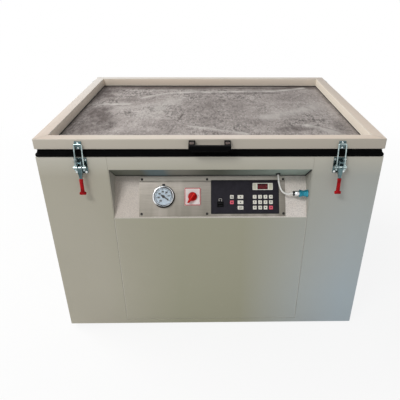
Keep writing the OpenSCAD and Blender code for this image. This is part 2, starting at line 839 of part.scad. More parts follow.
module cable_gland() {
    color("#1a1a1c") placed() translate([gland_at[0], inner_back, gland_at[1]]) rotate([-90, 0, 0]) {
        difference() {
            union() {
                translate([0, 0, -12]) cylinder(r = gland_body_r - 2 - run_gap, h = 14);
                translate([0, 0, -5]) cylinder(r = 12, h = 5, $fn = 6);
                translate([0, 0, sheet_t]) cylinder(r = 12, h = 6, $fn = 6);
                translate([0, 0, sheet_t + 6]) cylinder(r = gland_body_r, h = 4);
            }
            translate([0, 0, -20]) cylinder(r = gland_bore_r, h = 50);
        }
    }
}

// Latches

latch_bolt_places = [for (sx = [-1, 1], drop = [latch_base_top + 5, latch_base_top + latch_base_h - 5])
    [sx * (latch_base_w / 2 - 4.5), drop]];

// Children are drawn at a point outwards from the front face and down from the lid top
module at_latch(side, point) {
    placed() translate([side * latch_x, front_y - point[0], lid_top - point[1]]) children();
}

module latch_bases() {
    ear = 1.4;
    ear_in = 3.6;
    base_low = latch_base_top + latch_base_h;
    for (side = [-1, 1]) color("#9fb0b4") {
        at_latch(side, [0, 0]) {
            difference() {
                translate([-latch_base_w / 2, -latch_base_t, -base_low])
                    cube([latch_base_w, latch_base_t, latch_base_h]);
                for (bolt = latch_bolt_places) translate([bolt[0], 0, -bolt[1]])
                    rotate([90, 0, 0]) cylinder(r = 2.2, h = 10, center = true);
            }
            for (sx = [-1, 1]) translate([sx * (ear_in + ear / 2), 0, 0]) along_x(ear) difference() {
                union() {
                    polygon([
                        [-latch_base_t, -lever_pivot[1] + 10], [-latch_base_t, -lever_pivot[1] - 10],
                        [-lever_pivot[0] + 1, -lever_pivot[1] - 5.2],
                        [-lever_pivot[0] - 1, -lever_pivot[1] + 5.2]
                    ]);
                    translate([-lever_pivot[0], -lever_pivot[1]]) circle(5.5);
                }
                translate([-lever_pivot[0], -lever_pivot[1]]) circle(lever_pin_r + run_gap);
            }
        }
        at_latch(side, lever_pivot) rod_x(lever_pin_r, 2 * cheek_out + 1.2);
    }
}

module latch_bolts() {
    color("#c3ccce") for (side = [-1, 1], bolt = latch_bolt_places)
        at_latch(side, [0, 0]) translate([bolt[0], -latch_base_t, -bolt[1]]) rotate([90, 0, 0]) {
            cylinder(r = 3.9, h = 3, $fn = 6);
            translate([0, 0, 0.1 - latch_base_t - sheet_t])
                cylinder(r = 2.1, h = latch_base_t + sheet_t);
        }
}

// Children are drawn with their X across, -Z down the lever and -Y out of its face
module at_lever(side) {
    at_latch(side, lever_pivot) rotate([-lever_lean, 0, 0]) children();
}

pivot_step = [trunnion_pivot[0] - lever_pivot[0], trunnion_pivot[1] - lever_pivot[1]];
trunnion_s = pivot_step[0] * sin(lever_lean) + pivot_step[1] * cos(lever_lean);
trunnion_n = pivot_step[0] * cos(lever_lean) - pivot_step[1] * sin(lever_lean);
web_n = grip_n;
web_t = 1.5;
web_from_s = 15.5;
neck_s = 46;
neck_half = 3.6;

module latch_lever(side) {
    shoulder_s = 22;
    color("#b4c2c6") at_lever(side) {
        difference() {
            translate([0, -web_n - web_t, 0]) rotate([-90, 0, 0]) linear_extrude(18) polygon([
                [-cheek_out, -7], [cheek_out, -7], [cheek_out, shoulder_s], [neck_half, neck_s],
                [-neck_half, neck_s], [-cheek_out, shoulder_s]
            ]);
            translate([0, -web_n, 0]) rotate([-90, 0, 0]) linear_extrude(20) polygon([
                [-cheek_in, -8], [cheek_in, -8], [cheek_in, shoulder_s], [neck_half - web_t, neck_s - 2],
                [web_t - neck_half, neck_s - 2], [-cheek_in, shoulder_s]
            ]);
            translate([-cheek_in, -web_n - web_t - 1, -web_from_s])
                cube([2 * cheek_in, web_t + 2, web_from_s + 10]);
            along_x(30) polygon([
                [20, 10], [-7, 10], [5, 5], [8, -4], [9.8, -10], [9.6, -18], [0, -neck_s], [-2, -neck_s - 1],
                [20, -neck_s - 1]
            ]);
            rod_x(lever_pin_r + run_gap, 40);
            translate([0, -trunnion_n, -trunnion_s]) rod_x(trunnion_r + run_gap, 40);
        }
        translate([-neck_half, -web_n - web_t, -lever_l + 8]) cube([2 * neck_half, 3, lever_l - 8 - neck_s + 2]);
    }
}

module left_latch_lever() latch_lever(-1);

module right_latch_lever() latch_lever(1);

module latch_grip(side) {
    half_w = 4.8;
    half_t = 4.2;
    color("#a51220") at_lever(side) difference() {
        union() {
            translate([0, -web_n, -lever_l]) linear_extrude(lever_l - neck_s)
                rounded_rect(half_w, half_t, 3);
            translate([0, -web_n, -lever_l]) rod_x(t_grip_r, 19);
        }
        translate([-neck_half - run_gap, -web_n - web_t - run_gap, -lever_l + 8 - run_gap])
            cube([2 * (neck_half + run_gap), 3 + 2 * run_gap, lever_l]);
    }
}

module left_latch_grip() latch_grip(-1);

module right_latch_grip() latch_grip(1);

module latch_bow(side) {
    rod_r = bow_d / 2;
    bend = rod_r + 1.5;
    tail = 10;
    leg_x = bow_pitch / 2;
    nut_h = 4;
    color("#aebcc0") at_latch(side, trunnion_pivot) rotate([-bow_lean, 0, 0]) {
        pair_x(leg_x) translate([0, 0, -tail]) cylinder(r = rod_r, h = tail + bow_l - bend);
        for (sx = [-1, 1]) translate([sx * (leg_x - bend), 0, bow_l - bend])
            rotate([90, 0, sx < 0 ? 180 : 0]) rotate_extrude(angle = 90)
                translate([bend, 0]) circle(rod_r);
        translate([0, 0, bow_l]) rod_x(rod_r, 2 * (leg_x - bend));
        difference() {
            rod_x(trunnion_r, 35);
            pair_x(leg_x) cylinder(r = rod_r + run_gap, h = 20, center = true);
        }
        for (sx = [-1, 1], z = [trunnion_r + 0.2, -trunnion_r - 0.2 - nut_h])
            translate([sx * leg_x, 0, z]) rotate([0, 0, 30]) difference() {
                cylinder(r = 4.5, h = nut_h, $fn = 6);
                translate([0, 0, -1]) cylinder(r = rod_r + run_gap, h = nut_h + 2);
            }
    }
}

module left_latch_bow() latch_bow(-1);

module right_latch_bow() latch_bow(1);

catch_screw_drops = [10.5, 25.2];

module catch_plates() {
    lip_top = hook_bar[1] + bow_d / 2 + 0.35;
    lip_w = bow_pitch - bow_d - 2;
    for (side = [-1, 1]) color("#a7a89f") at_latch(side, [0, 0]) difference() {
        union() {
            along_x(20) polygon([[0, -6], [-2, -6], [-2, -29], [0, -29]]);
            along_x(lip_w) polygon([
                [-2, -lip_top], [-8.6, -lip_top + 0.42], [-10, -lip_top], [-9.4, -lip_top - 1.6],
                [-2, -lip_top - 2]
            ]);
        }
        for (drop = catch_screw_drops) translate([0, 0, -drop])
            rotate([90, 0, 0]) cylinder(r = 1.6, h = 10, center = true);
    }
}

module catch_screws() {
    color("#c9ccc8") for (side = [-1, 1], drop = catch_screw_drops)
        at_latch(side, [0, 0]) translate([0, 0, -drop]) rotate([90, 0, 0]) rotate_extrude()
            polygon([[0, -6], [1.5, -6], [1.5, 2], [2.8, 2], [2.4, 2.9], [0, 3.2]]);
}

// Lid

module hinge_places() {
    pair_x(side_x - hinge_inset) children();
}

// A leaf with its own knuckles, ranges given along X from the hinge's middle
module hinge_leaf(ranges, z0, z1, web_z0, web_z1, bore) {
    difference() {
        union() {
            translate([-hinge_l / 2, back_y, z0]) cube([hinge_l, leaf_t, z1 - z0]);
            for (range = ranges) translate([(range[0] + range[1]) / 2, 0, 0]) {
                width = range[1] - range[0];
                translate([-width / 2, back_y, web_z0]) cube([width, leaf_t, web_z1 - web_z0]);
                translate([0, hinge_y, hinge_z]) rod_x(hinge_r, width);
            }
        }
        translate([0, hinge_y, hinge_z]) rod_x(bore, 2 * hinge_l);
    }
}

module hinge_cabinet_leaves() {
    third = hinge_l / 3;
    color("#8e8f8c") placed() hinge_places() {
        hinge_leaf([[-hinge_l / 2, -third / 2 - knuckle_gap], [third / 2 + knuckle_gap, hinge_l / 2]],
                   hinge_z - leaf_h, hinge_z - hinge_r - 2, hinge_z - hinge_r - 3, hinge_z, hinge_pin_r);
        translate([0, hinge_y, hinge_z]) rod_x(hinge_pin_r, hinge_l + 2);
    }
}

module hinge_lid_leaves() {
    third = hinge_l / 3;
    color("#8e8f8c") placed() hinge_places()
        hinge_leaf([[-third / 2 + knuckle_gap, third / 2 - knuckle_gap]], hinge_z + hinge_r + 2,
                   hinge_z + 2 + lid_leaf_h, hinge_z, hinge_z + hinge_r + 3, hinge_pin_r + run_gap);
}

module lid_frame() {
    outer = [side_x, cab_d / 2];
    inner = outer - [rail_w, rail_w];
    wall = [tube_wall, tube_wall];
    color("#d2c9b8") placed() difference() {
        box_ring(outer, inner, lid_z, lid_top);
        box_ring(outer - wall, inner + wall, lid_z + tube_wall, lid_top - tube_wall);
        translate([0, back_y - rail_w / 2, lid_z]) cylinder(r = 3, h = 10, center = true);
        for (side = [-1, 1], drop = catch_screw_drops)
            translate([side * latch_x, front_y, lid_top - drop])
                rotate([90, 0, 0]) cylinder(r = 1.6, h = 10, center = true);
        for (dx = [-1, 1]) translate([handle_x + dx * handle_pitch / 2, front_y, lid_top - handle_drop])
            rotate([90, 0, 0]) cylinder(r = 2.6, h = 10, center = true);
    }
}

module blanket() {
    inset = 5;
    color("#6f6a68") placed() translate([-side_x + inset, front_y + inset, blanket_z])
        cube([cab_w - 2 * inset, cab_d - 2 * inset, blanket_t]);
}

module blanket_strips() {
    strip_w = 9;
    strip_t = 2;
    half = [side_x - rail_w + strip_w + 1, cab_d / 2 - rail_w + strip_w + 1];
    color("#b9bbbc") placed() translate([0, 0, blanket_z - strip_t]) {
        for (sy = [-1, 1]) translate([-half[0], sy * (half[1] - strip_w / 2) - strip_w / 2, 0])
            cube([2 * half[0], strip_w, strip_t]);
        for (sx = [-1, 1])
            translate([sx * (half[0] - strip_w / 2) - strip_w / 2, -half[1] + strip_w + soft_gap, 0])
                cube([strip_w, 2 * (half[1] - strip_w - soft_gap), strip_t]);
    }
}

handle_x = -3;
handle_drop = 16;

module lid_handle() {
    leg = 18;
    bar_h = 17;
    bar_d = handle_bar_d;
    length = handle_pitch + leg;
    end_cut = 10;
    color("#1a1a1b") placed() translate([handle_x, front_y, lid_top - handle_drop]) {
        for (dx = [-1, 1]) translate([dx * handle_pitch / 2, 0, 0]) {
            along_x(leg) polygon([
                [0, -11], [0, 12], [-4, 12], [-handle_reach, bar_h / 2], [-handle_reach, -bar_h / 2]
            ]);
            rotate([-90, 0, 0]) cylinder(r = 2.5, h = 8);
        }
        translate([0, -handle_reach, 0]) difference() {
            along_x(length) {
                square([bar_d - 6, bar_h], center = true);
                square([bar_d, bar_h - 6], center = true);
                for (sy = [-1, 1], sz = [-1, 1])
                    translate([sy * (bar_d / 2 - 3), sz * (bar_h / 2 - 3)]) circle(3);
            }
            rotate([90, 0, 0]) linear_extrude(2 * bar_d, center = true) for (sx = [-1, 1]) polygon([
                [sx * (length / 2 - end_cut), -bar_h / 2 - eps], [sx * (length / 2 + 1), -bar_h / 2 - eps],
                [sx * (length / 2 + 1), bar_h / 2 - end_cut + 3]
            ]);
        }
    }
}

// Gas struts

eye_x = strut_x - strut_eye_t / 2;

module strut_lower_brackets() {
    plate = 36;
    color("#8e9294") placed() for (side = [-1, 1]) translate([side * side_x, strut_foot_y, strut_foot_z])
        rotate([0, side * 90, 0]) {
            translate([-plate / 2, -plate / 2, 0]) cube([plate, plate, 2.5]);
            cylinder(r = 8, h = eye_x - side_x - 0.2);
            cylinder(r = strut_stud_r, h = 19);
            translate([0, 0, eye_x - side_x + strut_eye_t + 0.2]) cylinder(r = 8, h = 2);
        }
}

module strut_upper_brackets() {
    color("#8e9294") placed() for (side = [-1, 1]) translate([side * side_x, strut_top_y, 0])
        rotate([0, side * 90, 0]) translate([-strut_top_z * side, 0, 0]) {
            translate([side > 0 ? -(lid_z + 29 - strut_top_z) : -(strut_top_z - lid_z), -16, 0])
                cube([29, 32, 2.5]);
            cylinder(r = 6, h = eye_x - side_x - 0.2);
            cylinder(r = strut_top_stud_r, h = 20);
            translate([0, 0, eye_x - side_x + strut_eye_t + 0.2]) cylinder(r = 10.5, h = 1.4);
            translate([0, 0, 17.4]) cylinder(r = 5.5, h = 3.4, $fn = 6);
        }
}

module at_strut(side) {
    placed() translate([side * strut_x, strut_foot_y, strut_foot_z]) rotate([strut_lean, 0, 0]) children();
}

module eye(r_out, r_in) {
    difference() {
        rod_x(r_out, strut_eye_t);
        rod_x(r_in, 2 * strut_eye_t);
    }
}

module strut_cylinder(side) {
    color("#1b1b1d") at_strut(side) {
        eye(strut_r, strut_stud_r + run_gap);
        difference() {
            union() {
                translate([0, 0, 8]) cylinder(r = 3.5, h = 8);
                translate([0, 0, 14]) cylinder(r = strut_r, h = strut_body_l - 14);
            }
            translate([0, 0, 20]) cylinder(r = strut_r - 2, h = strut_body_l - 30);
            translate([0, 0, 20]) cylinder(r = strut_rod_r + run_gap, h = strut_body_l);
        }
    }
}

module left_strut_cylinder() strut_cylinder(-1);

module right_strut_cylinder() strut_cylinder(1);

module strut_rod(side) {
    eye_out = strut_eye_bore + 3.4;
    color("#c9cccf") at_strut(side) {
        translate([0, 0, 30]) cylinder(r = strut_rod_r, h = strut_l - 30 - strut_eye_bore - 1);
        translate([0, 0, 30]) cylinder(r = strut_r - 2.3, h = 10);
        translate([0, 0, strut_l]) eye(eye_out, strut_eye_bore);
    }
}

module left_strut_rod() strut_rod(-1);

module right_strut_rod() strut_rod(1);

base_tray();
left_side_panel();
right_side_panel();
back_panel();
front_frame();
recess_housing();
access_panel();
top_frame();
exposure_glass();
seal_gasket();
levelling_feet();
control_plate();
plate_screws();
gauge_case();
gauge_dial();
gauge_lens();
gauge_needle();
rotary_switch_body();
switch_knob();
keypad_overlay();
display_window();
rocker_frame();
rocker_paddle();
valve_body();
valve_sleeve();
vent_tube();
lamp_cradle();
lamp_reflector();
lamp_holders();
lamp_tube();
control_gear();
vacuum_pump();
vacuum_hose();
vacuum_ports();
fan_frame();
fan_rotor();
fan_guard();
cable_gland();
latch_bases();
latch_bolts();
left_latch_lever();
right_latch_lever();
left_latch_grip();
right_latch_grip();
left_latch_bow();
right_latch_bow();
catch_plates();
catch_screws();
hinge_cabinet_leaves();
hinge_lid_leaves();
lid_frame();
blanket();
blanket_strips();
lid_handle();
strut_lower_brackets();
strut_upper_brackets();
left_strut_cylinder();
right_strut_cylinder();
left_strut_rod();
right_strut_rod();
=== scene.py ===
import json
from math import asin, atan2, copysign, cos, exp, hypot, pi, radians, sin, sqrt

import bmesh
import bpy
from mathutils import Matrix, Vector, noise


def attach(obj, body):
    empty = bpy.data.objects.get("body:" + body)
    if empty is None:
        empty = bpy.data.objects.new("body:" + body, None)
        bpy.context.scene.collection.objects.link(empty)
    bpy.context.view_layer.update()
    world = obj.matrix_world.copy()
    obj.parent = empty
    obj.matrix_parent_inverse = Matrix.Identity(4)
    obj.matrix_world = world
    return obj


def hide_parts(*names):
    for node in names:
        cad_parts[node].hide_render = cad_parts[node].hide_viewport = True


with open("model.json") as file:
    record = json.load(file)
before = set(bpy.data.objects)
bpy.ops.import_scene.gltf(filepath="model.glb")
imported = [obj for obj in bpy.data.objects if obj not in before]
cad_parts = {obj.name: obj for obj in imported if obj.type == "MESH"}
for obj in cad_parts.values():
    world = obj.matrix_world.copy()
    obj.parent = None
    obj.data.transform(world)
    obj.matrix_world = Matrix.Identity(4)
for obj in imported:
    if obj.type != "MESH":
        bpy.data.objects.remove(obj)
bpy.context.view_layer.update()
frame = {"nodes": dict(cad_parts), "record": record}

# ---------------------------------------------------------------- sizes of the frame, in mm
BODY_Y = 11.75  # the cabinet's middle lies this far behind the frame's origin
FRONT, BACK, SIDE = -386.0, 386.0, 500.0
TOP, LID, LID_TOP = 662.0, 685.0, 716.0
SILL, APEX = 458.0, 568.0  # lower and upper edge of the sloping panel
RECESS_D, ROOF_H = 70.0, 53.0
SLOPE = atan2(APEX - SILL, RECESS_D)
# Places on the sloping panel: across, up the slope and out of it
PLATE_T = 1.5
GAUGE_X, SWITCH_X, DIAL_S = -147, -57, 64.6
ROCKER_X, ROCKER_S = 29, 40.3
DISPLAY_X, DISPLAY_S, DISPLAY_W, DISPLAY_H = 161.2, 95.6, 32.6, 17.8
CHEEK_X, VALVE_S, VALVE_N, VALVE_TIP_X = 297.5, 72, 26, 249.5
# Air lines: hole in the recess roof, vacuum ports in the top frame, outlet of the pump
HOLE_OUT, PORT_IN, SHEET = 45, 29, 2
ROOF_HOLE = (206, FRONT + HOLE_OUT, APEX + ROOF_H * (1 - HOLE_OUT / RECESS_D))
PORT_Z = TOP - 14
REAR_PORT_X, PUMP_OUTLET = 420, (390, 250, 206)
# Latch: the lever hangs from its pin, and its blade leans from that line to the grip
LATCH_X, PIN_OUT, PIN_DROP, LEVER_OUT, LEVER_L, BLADE_BACK = 374, 14, 68, 9.5, 91, 4.5
HANDLE_Y, HANDLE_Z = FRONT - 17, LID_TOP - 16
HINGE_X, STRUT_X = 320, 502.5

NODES = frame["nodes"]
BODIES = frame["record"]["behaviour"]["bodies"]
NODE_BODY = {n: b for b, names in BODIES.items() for n in names}


def P(x, y, z):
    """A point given from the cabinet's middle, in mm, as metres in the frame."""
    return Vector((x / 1000.0, (y + BODY_Y) / 1000.0, z / 1000.0))


def shift(*to):
    return Matrix.Translation(to)


def turn(degrees, axis):
    return Matrix.Rotation(radians(degrees), 4, axis)


MM = Matrix.Scale(0.001, 4)
PANEL = shift(*P(0, FRONT, SILL)) @ Matrix.Rotation(SLOPE, 4, "X") @ MM


# ---------------------------------------------------------------- camera, as solved from the photo
FOCAL_PX, MIDDLE_PX, IMAGE_PX, SENSOR = 414.03, (217.82, 191.73), 400, 36.0
cam_data = bpy.data.cameras.new("camera")
cam = bpy.data.objects.new("camera", cam_data)
bpy.context.scene.collection.objects.link(cam)
bpy.context.scene.camera = cam
cam_data.sensor_width = SENSOR
cam_data.lens = FOCAL_PX / IMAGE_PX * SENSOR
cam_data.shift_x = -(MIDDLE_PX[0] - IMAGE_PX / 2) / IMAGE_PX
cam_data.shift_y = (MIDDLE_PX[1] - IMAGE_PX / 2) / IMAGE_PX
cam.location = P(-1.72, -1483.0, 1130.86)
pitch, yaw, roll = 0.4883, -0.0203, 0.0061
look = Vector((-sin(yaw) * cos(pitch), cos(yaw) * cos(pitch), -sin(pitch)))
across = look.cross(Vector((0, 0, 1))).normalized()
upward = across.cross(look)
tilted = cos(roll) * across + sin(roll) * upward
upright = -sin(roll) * across + cos(roll) * upward
cam.rotation_mode = "QUATERNION"
cam.rotation_quaternion = Matrix((tilted, upright, -look)).transposed().to_quaternion()
cam_data.clip_start, cam_data.clip_end = 0.05, 200.0


# ---------------------------------------------------------------- materials
class Nodes:
    """A short hand for building one node material."""

    def __init__(self, name):
        self.mat = bpy.data.materials.new(name)
        self.mat.use_nodes = True
        self.t = self.mat.node_tree
        self.bsdf = self.t.nodes["Principled BSDF"]
        self.coord = self.t.nodes.new("ShaderNodeTexCoord")

    def new(self, kind, **values):
        n = self.t.nodes.new(kind)
        for key, value in values.items():
            setattr(n, key, value)
        return n

    def link(self, a, b):
        self.t.links.new(a, b)

    def _set(self, socket, value):
        if isinstance(value, bpy.types.NodeSocket):
            self.link(value, socket)
        elif isinstance(value, (int, float)):
            socket.default_value = value
        else:
            socket.default_value = (*value, 1.0) if len(value) == 3 else value

    def at(self, scale=(1, 1, 1), rotation=(0, 0, 0)):
        m = self.new("ShaderNodeMapping")
        m.inputs["Scale"].default_value = scale
        m.inputs["Rotation"].default_value = rotation
        self.link(self.coord.outputs["Object"], m.inputs["Vector"])
        return m.outputs["Vector"]

    def noise(self, scale, detail=4.0, rough=0.55, stretch=(1, 1, 1), distort=0.0, rotation=(0, 0, 0)):
        n = self.new("ShaderNodeTexNoise")
        values = {"Scale": scale, "Detail": detail, "Roughness": rough, "Distortion": distort}
        for key, value in values.items():
            n.inputs[key].default_value = value
        self.link(self.at(stretch, rotation), n.inputs["Vector"])
        return n.outputs["Fac"]

    def cells(self, scale):
        n = self.new("ShaderNodeTexVoronoi", feature="SMOOTH_F1")
        n.inputs["Scale"].default_value = scale
        self.link(self.at(), n.inputs["Vector"])
        return n.outputs["Distance"]

    def ramp(self, fac, stops):
        n = self.new("ShaderNodeValToRGB")
        while len(n.color_ramp.elements) < len(stops):
            n.color_ramp.elements.new(0.5)
        for e, (pos, col) in zip(n.color_ramp.elements, stops):
            e.position = pos
            e.color = (*col, 1.0)
        self.link(fac, n.inputs["Fac"])
        return n.outputs["Color"]

    def grey(self, fac, stops):
        return self.ramp(fac, [(p, (v, v, v)) for p, v in stops])

    def mix(self, fac, a, b):
        n = self.new("ShaderNodeMix", data_type="RGBA")
        self._set(n.inputs["Factor"], fac)
        self._set(n.inputs[6], a)
        self._set(n.inputs[7], b)
        return n.outputs[2]

    def toned(self, col, fac, stops, tone):
        """A colour with a tone mixed over it where a factor is high."""
        return self.mix(self.grey(fac, stops), col, tone)

    def varied(self, fac, color, vary, lo=0.35, hi=0.65):
        """A colour that drifts darker and lighter with a factor."""
        return self.ramp(fac, [(lo, tuple(c * (1 - vary) for c in color)),
                               (hi, tuple(min(1.0, c * (1 + vary)) for c in color))])

    def rough(self, scale, lo, hi, detail=4.0):
        """A roughness that drifts between two values."""
        return self.grey(self.noise(scale, detail), [(0.3, lo), (0.7, hi)])

    def math(self, op, a, b=0.0, clamp=False):
        n = self.new("ShaderNodeMath", operation=op, use_clamp=clamp)
        self._set(n.inputs[0], a)
        self._set(n.inputs[1], b)
        return n.outputs[0]

    def times(self, a, b):
        return self.math("MULTIPLY", a, b)

    def off(self, value, middle):
        """How far a value is from a middle, on either side."""
        return self.math("ABSOLUTE", self.math("SUBTRACT", value, middle))

    def length(self, a, b):
        return self.math("SQRT", self.math("ADD", self.times(a, a), self.times(b, b)))

    def attribute(self, name):
        return self.new("ShaderNodeAttribute", attribute_name=name).outputs["Fac"]

    def axis(self, which):
        n = self.new("ShaderNodeSeparateXYZ")
        self.link(self.coord.outputs["Object"], n.inputs[0])
        return n.outputs[which]

    def bump(self, height, distance, strength=1.0):
        n = self.new("ShaderNodeBump")
        n.inputs["Strength"].default_value = strength
        n.inputs["Distance"].default_value = distance
        self.link(height, n.inputs["Height"])
        return n.outputs["Normal"]

    def peel(self, scale, distance):
        """The fine orange peel of a coat of paint."""
        return self.bump(self.noise(scale, 2.0, 0.5), distance)

    def finish(self, color, rough, metal=0.0, normal=None, **sockets):
        self._set(self.bsdf.inputs["Base Color"], color)
        self._set(self.bsdf.inputs["Roughness"], rough)
        self.bsdf.inputs["Metallic"].default_value = metal
        if normal is not None:
            self.link(normal, self.bsdf.inputs["Normal"])
        for key, value in sockets.items():
            self._set(self.bsdf.inputs[key.replace("_", " ")], value)
        return self.mat


def paint(name, color, rough=0.42, vary=0.06, peel=0.00008, peel_scale=900, dust=0.03):
    """Painted sheet steel: slow colour drift, fine peel and a little dust."""
    n = Nodes(name)
    col = n.varied(n.noise(2.2, 3.0), color, vary)
    col = n.toned(col, n.noise(60, 5.0, 0.6), [(0.55, 0.0), (0.80, dust)], (0.80, 0.78, 0.74))
    b = n.peel(peel_scale, peel)
    return n.finish(col, n.rough(140, rough - 0.06, rough + 0.08), normal=b)


def plastic(name, color, rough=0.35, vary=0.08, grain=0.00004, scale=1500, spec=0.5, **more):
    n = Nodes(name)
    col = n.varied(n.noise(70), color, vary)
    r = n.rough(220, rough - 0.05, rough + 0.08, 3.0)
    return n.finish(col, r, normal=n.bump(n.noise(scale, 2.0), grain), Specular_IOR_Level=spec, **more)


def metal(name, color, rough=0.28, vary=0.10, brushed=None, scale=300, grain=0.00002, stain_and_painted_light=None):
    """Metal with drifting tone; brushed gives the stretch of its brush lines."""
    n = Nodes(name)
    col = n.varied(n.noise(35, 5.0, 0.6), color, vary, 0.3, 0.7)
    # the stain tone darkens patches: real stains on galvanised steel, painted dark reflections on the zinc
    # parts
    if stain_and_painted_light is not None:
        col = n.toned(col, n.noise(90, 6.0, 0.65), [(0.50, 0.0), (0.72, 0.7)], stain_and_painted_light)
    if brushed:
        lines = n.noise(scale, 3.0, 0.6, stretch=brushed)
        col = n.toned(col, lines, [(0.3, 0.0), (0.7, 0.35)], tuple(c * 0.72 for c in color))
        r = n.grey(lines, [(0.3, rough - 0.05), (0.7, rough + 0.12)])
    else:
        lines = n.noise(scale, 3.0)
        r = n.rough(120, rough - 0.08, rough + 0.10)
    return n.finish(col, r, metal=1.0, normal=n.bump(lines, grain))


def rubber(name, color, rough=0.75, dust=0.2, dust_color=(0.32, 0.31, 0.29), spec=0.3):
    n = Nodes(name)
    col = n.toned(color, n.noise(40, 6.0, 0.7), [(0.52, 0.0), (0.75, dust)], dust_color)
    r = n.rough(90, rough - 0.08, rough + 0.1, 3.0)
    return n.finish(col, r, normal=n.bump(n.noise(500, 3.0), 0.00015), Specular_IOR_Level=spec)


def glass(name, color, rough=0.02):
    n = Nodes(name)
    r = n.grey(n.noise(30, 3.0), [(0.4, rough), (0.7, rough + 0.03)])
    return n.finish(color, r, Transmission_Weight=1.0, IOR=1.45)


def cabinet_paint():
    """Grey-beige powder coat, olive low in the middle, bluer low on the right, with a painted highlight along
    its top that lifts the shade under the gasket.
    """
    n = Nodes("cabinet_paint")
    x, z = n.axis(0), n.axis(2)
    col = n.ramp(n.noise(2.0, 3.0, 0.5), [(0.35, (0.480, 0.450, 0.364)), (0.65, (0.517, 0.488, 0.398))])
    low = n.grey(z, [(0.10, 1.0), (0.45, 0.85), (0.62, 0.25), (0.67, 0.0)])
    centre = n.grey(n.math("ABSOLUTE", x), [(0.10, 1.0), (0.36, 0.0)])
    col = n.mix(n.times(low, centre), col, (0.418, 0.408, 0.296))
    right = n.grey(x, [(0.10, 0.0), (0.45, 1.0)])
    height = n.grey(z, [(0.15, 1.0), (0.66, 0.30)])
    col = n.mix(n.times(right, height), col, (0.515, 0.595, 0.635))
    # painted highlight: the top band is paler, standing in for light under the gasket
    col = n.toned(col, z, [(0.600, 0.0), (0.662, 0.90)], (0.640, 0.615, 0.530))
    col = n.toned(col, n.noise(45, 6.0, 0.65), [(0.60, 0.0), (0.80, 0.10)], (0.68, 0.66, 0.61))
    b = n.peel(1100, 0.00010)
    return n.finish(col, n.rough(120, 0.42, 0.56), normal=b, Specular_IOR_Level=0.35)


def lid_top_paint():
    """Cream coat of the lid's upper faces, a lit copy of the lid paint with painted light: paler at the rear
    left, darker at the rear right and the front left, and warmer at the front.
    """
    n = Nodes("lid_top_paint")
    side = n.math("ADD", n.axis(0), 0.5)
    # painted light and shade across the rails, from left to right
    rear = n.ramp(side, [(0.03, (0.598, 0.559, 0.515)), (0.30, (0.585, 0.530, 0.460)),
                         (0.80, (0.575, 0.522, 0.440)), (0.97, (0.512, 0.428, 0.348))])
    front = n.ramp(side, [(0.03, (0.546, 0.449, 0.370)), (0.20, (0.610, 0.540, 0.460)),
                          (0.60, (0.670, 0.580, 0.505)), (0.97, (0.696, 0.574, 0.462))])
    col = n.toned(front, n.math("ADD", n.axis(1), 0.5), [(0.12, 0.0), (0.86, 1.0)], rear)
    col = n.toned(col, n.noise(30, 5.0, 0.6), [(0.45, 0.0), (0.75, 0.10)], (0.80, 0.74, 0.68))
    return n.finish(col, n.rough(140, 0.30, 0.44), normal=n.peel(900, 0.00008))


def lid_inner_paint():
    """Peach tone of the lid's inner walls, a much paler copy of the lid paint that paints the light on them,
    varied along the walls, with a pale line at their foot.
    """
    n = Nodes("lid_inner_paint")
    # painted light: the walls are far paler than the lid paint, lighter and darker along their length
    col = n.ramp(n.math("ADD", n.axis(0), 0.5),
                 [(0.036, (0.93, 0.82, 0.70)), (0.06, (0.80, 0.69, 0.575)), (0.40, (0.90, 0.755, 0.625)),
                  (0.93, (0.86, 0.75, 0.64)), (0.965, (0.75, 0.676, 0.576))])
    height = n.times(n.math("SUBTRACT", n.axis(2), 0.680), 20.0)
    col = n.toned(col, height, [(0.12, 0.0), (0.125, 0.8), (0.24, 0.0)], (0.99, 0.92, 0.80))
    return n.finish(col, n.rough(140, 0.34, 0.48), normal=n.peel(900, 0.00008))


def up_slope(n):
    """Seven times the way up the sloping panel from its sill, in metres."""
    out = n.times(n.math("SUBTRACT", n.axis(1), (FRONT + BODY_Y) / 1000.0), cos(SLOPE))
    rise = n.times(n.math("SUBTRACT", n.axis(2), SILL / 1000.0), sin(SLOPE))
    return n.times(n.math("ADD", out, rise), 7.0)


def slope_stops(*stops):
    """Ramp stops for up_slope, given in mm."""
    return [(p * 0.007, v) for p, v in stops]


def wrinkle_paint():
    """Pinkish cream wrinkle finish of the recess, with painted shade darker to the left and greyer along its
    top, and pale painted glints.
    """
    n = Nodes("wrinkle_paint")
    cells = n.cells(430)
    left = n.ramp(n.noise(14), [(0.35, (0.68, 0.600, 0.525)), (0.65, (0.75, 0.670, 0.600))])
    right = n.ramp(n.noise(14), [(0.35, (0.90, 0.82, 0.75)), (0.65, (0.97, 0.91, 0.86))])
    # painted shade: darker to the left, where the left cheek shades the panel
    col = n.toned(left, n.math("ADD", n.axis(0), 0.5), [(0.25, 0.0), (0.80, 1.0)], right)
    col = n.toned(col, cells, [(0.2, 0.42), (0.55, 0.0)], (0.40, 0.36, 0.32))
    # painted glint: pale speckles for the sparkle of the wrinkle coat
    col = n.toned(col, n.noise(900, 3.0, 0.7), [(0.66, 0.0), (0.74, 0.55)], (0.95, 0.92, 0.88))
    # painted shade: greyer along the top, under the roof
    top = slope_stops((70, 0.0), (112, 0.08), (116, 0.18), (134, 0.25))
    col = n.toned(col, up_slope(n), top, (0.36, 0.355, 0.32))
    return n.finish(col, 0.42, normal=n.bump(cells, 0.0008, 0.75))


def cheek_paint():
    """Shaded wrinkle paint of the recess cheeks."""
    n = Nodes("cheek_paint")
    cells = n.cells(430)
    col = n.ramp(n.noise(16), [(0.35, (0.44, 0.425, 0.37)), (0.65, (0.55, 0.53, 0.47))])
    col = n.toned(col, cells, [(0.2, 0.3), (0.55, 0.0)], (0.20, 0.195, 0.17))
    return n.finish(col, 0.5, normal=n.bump(cells, 0.0007, 0.7))


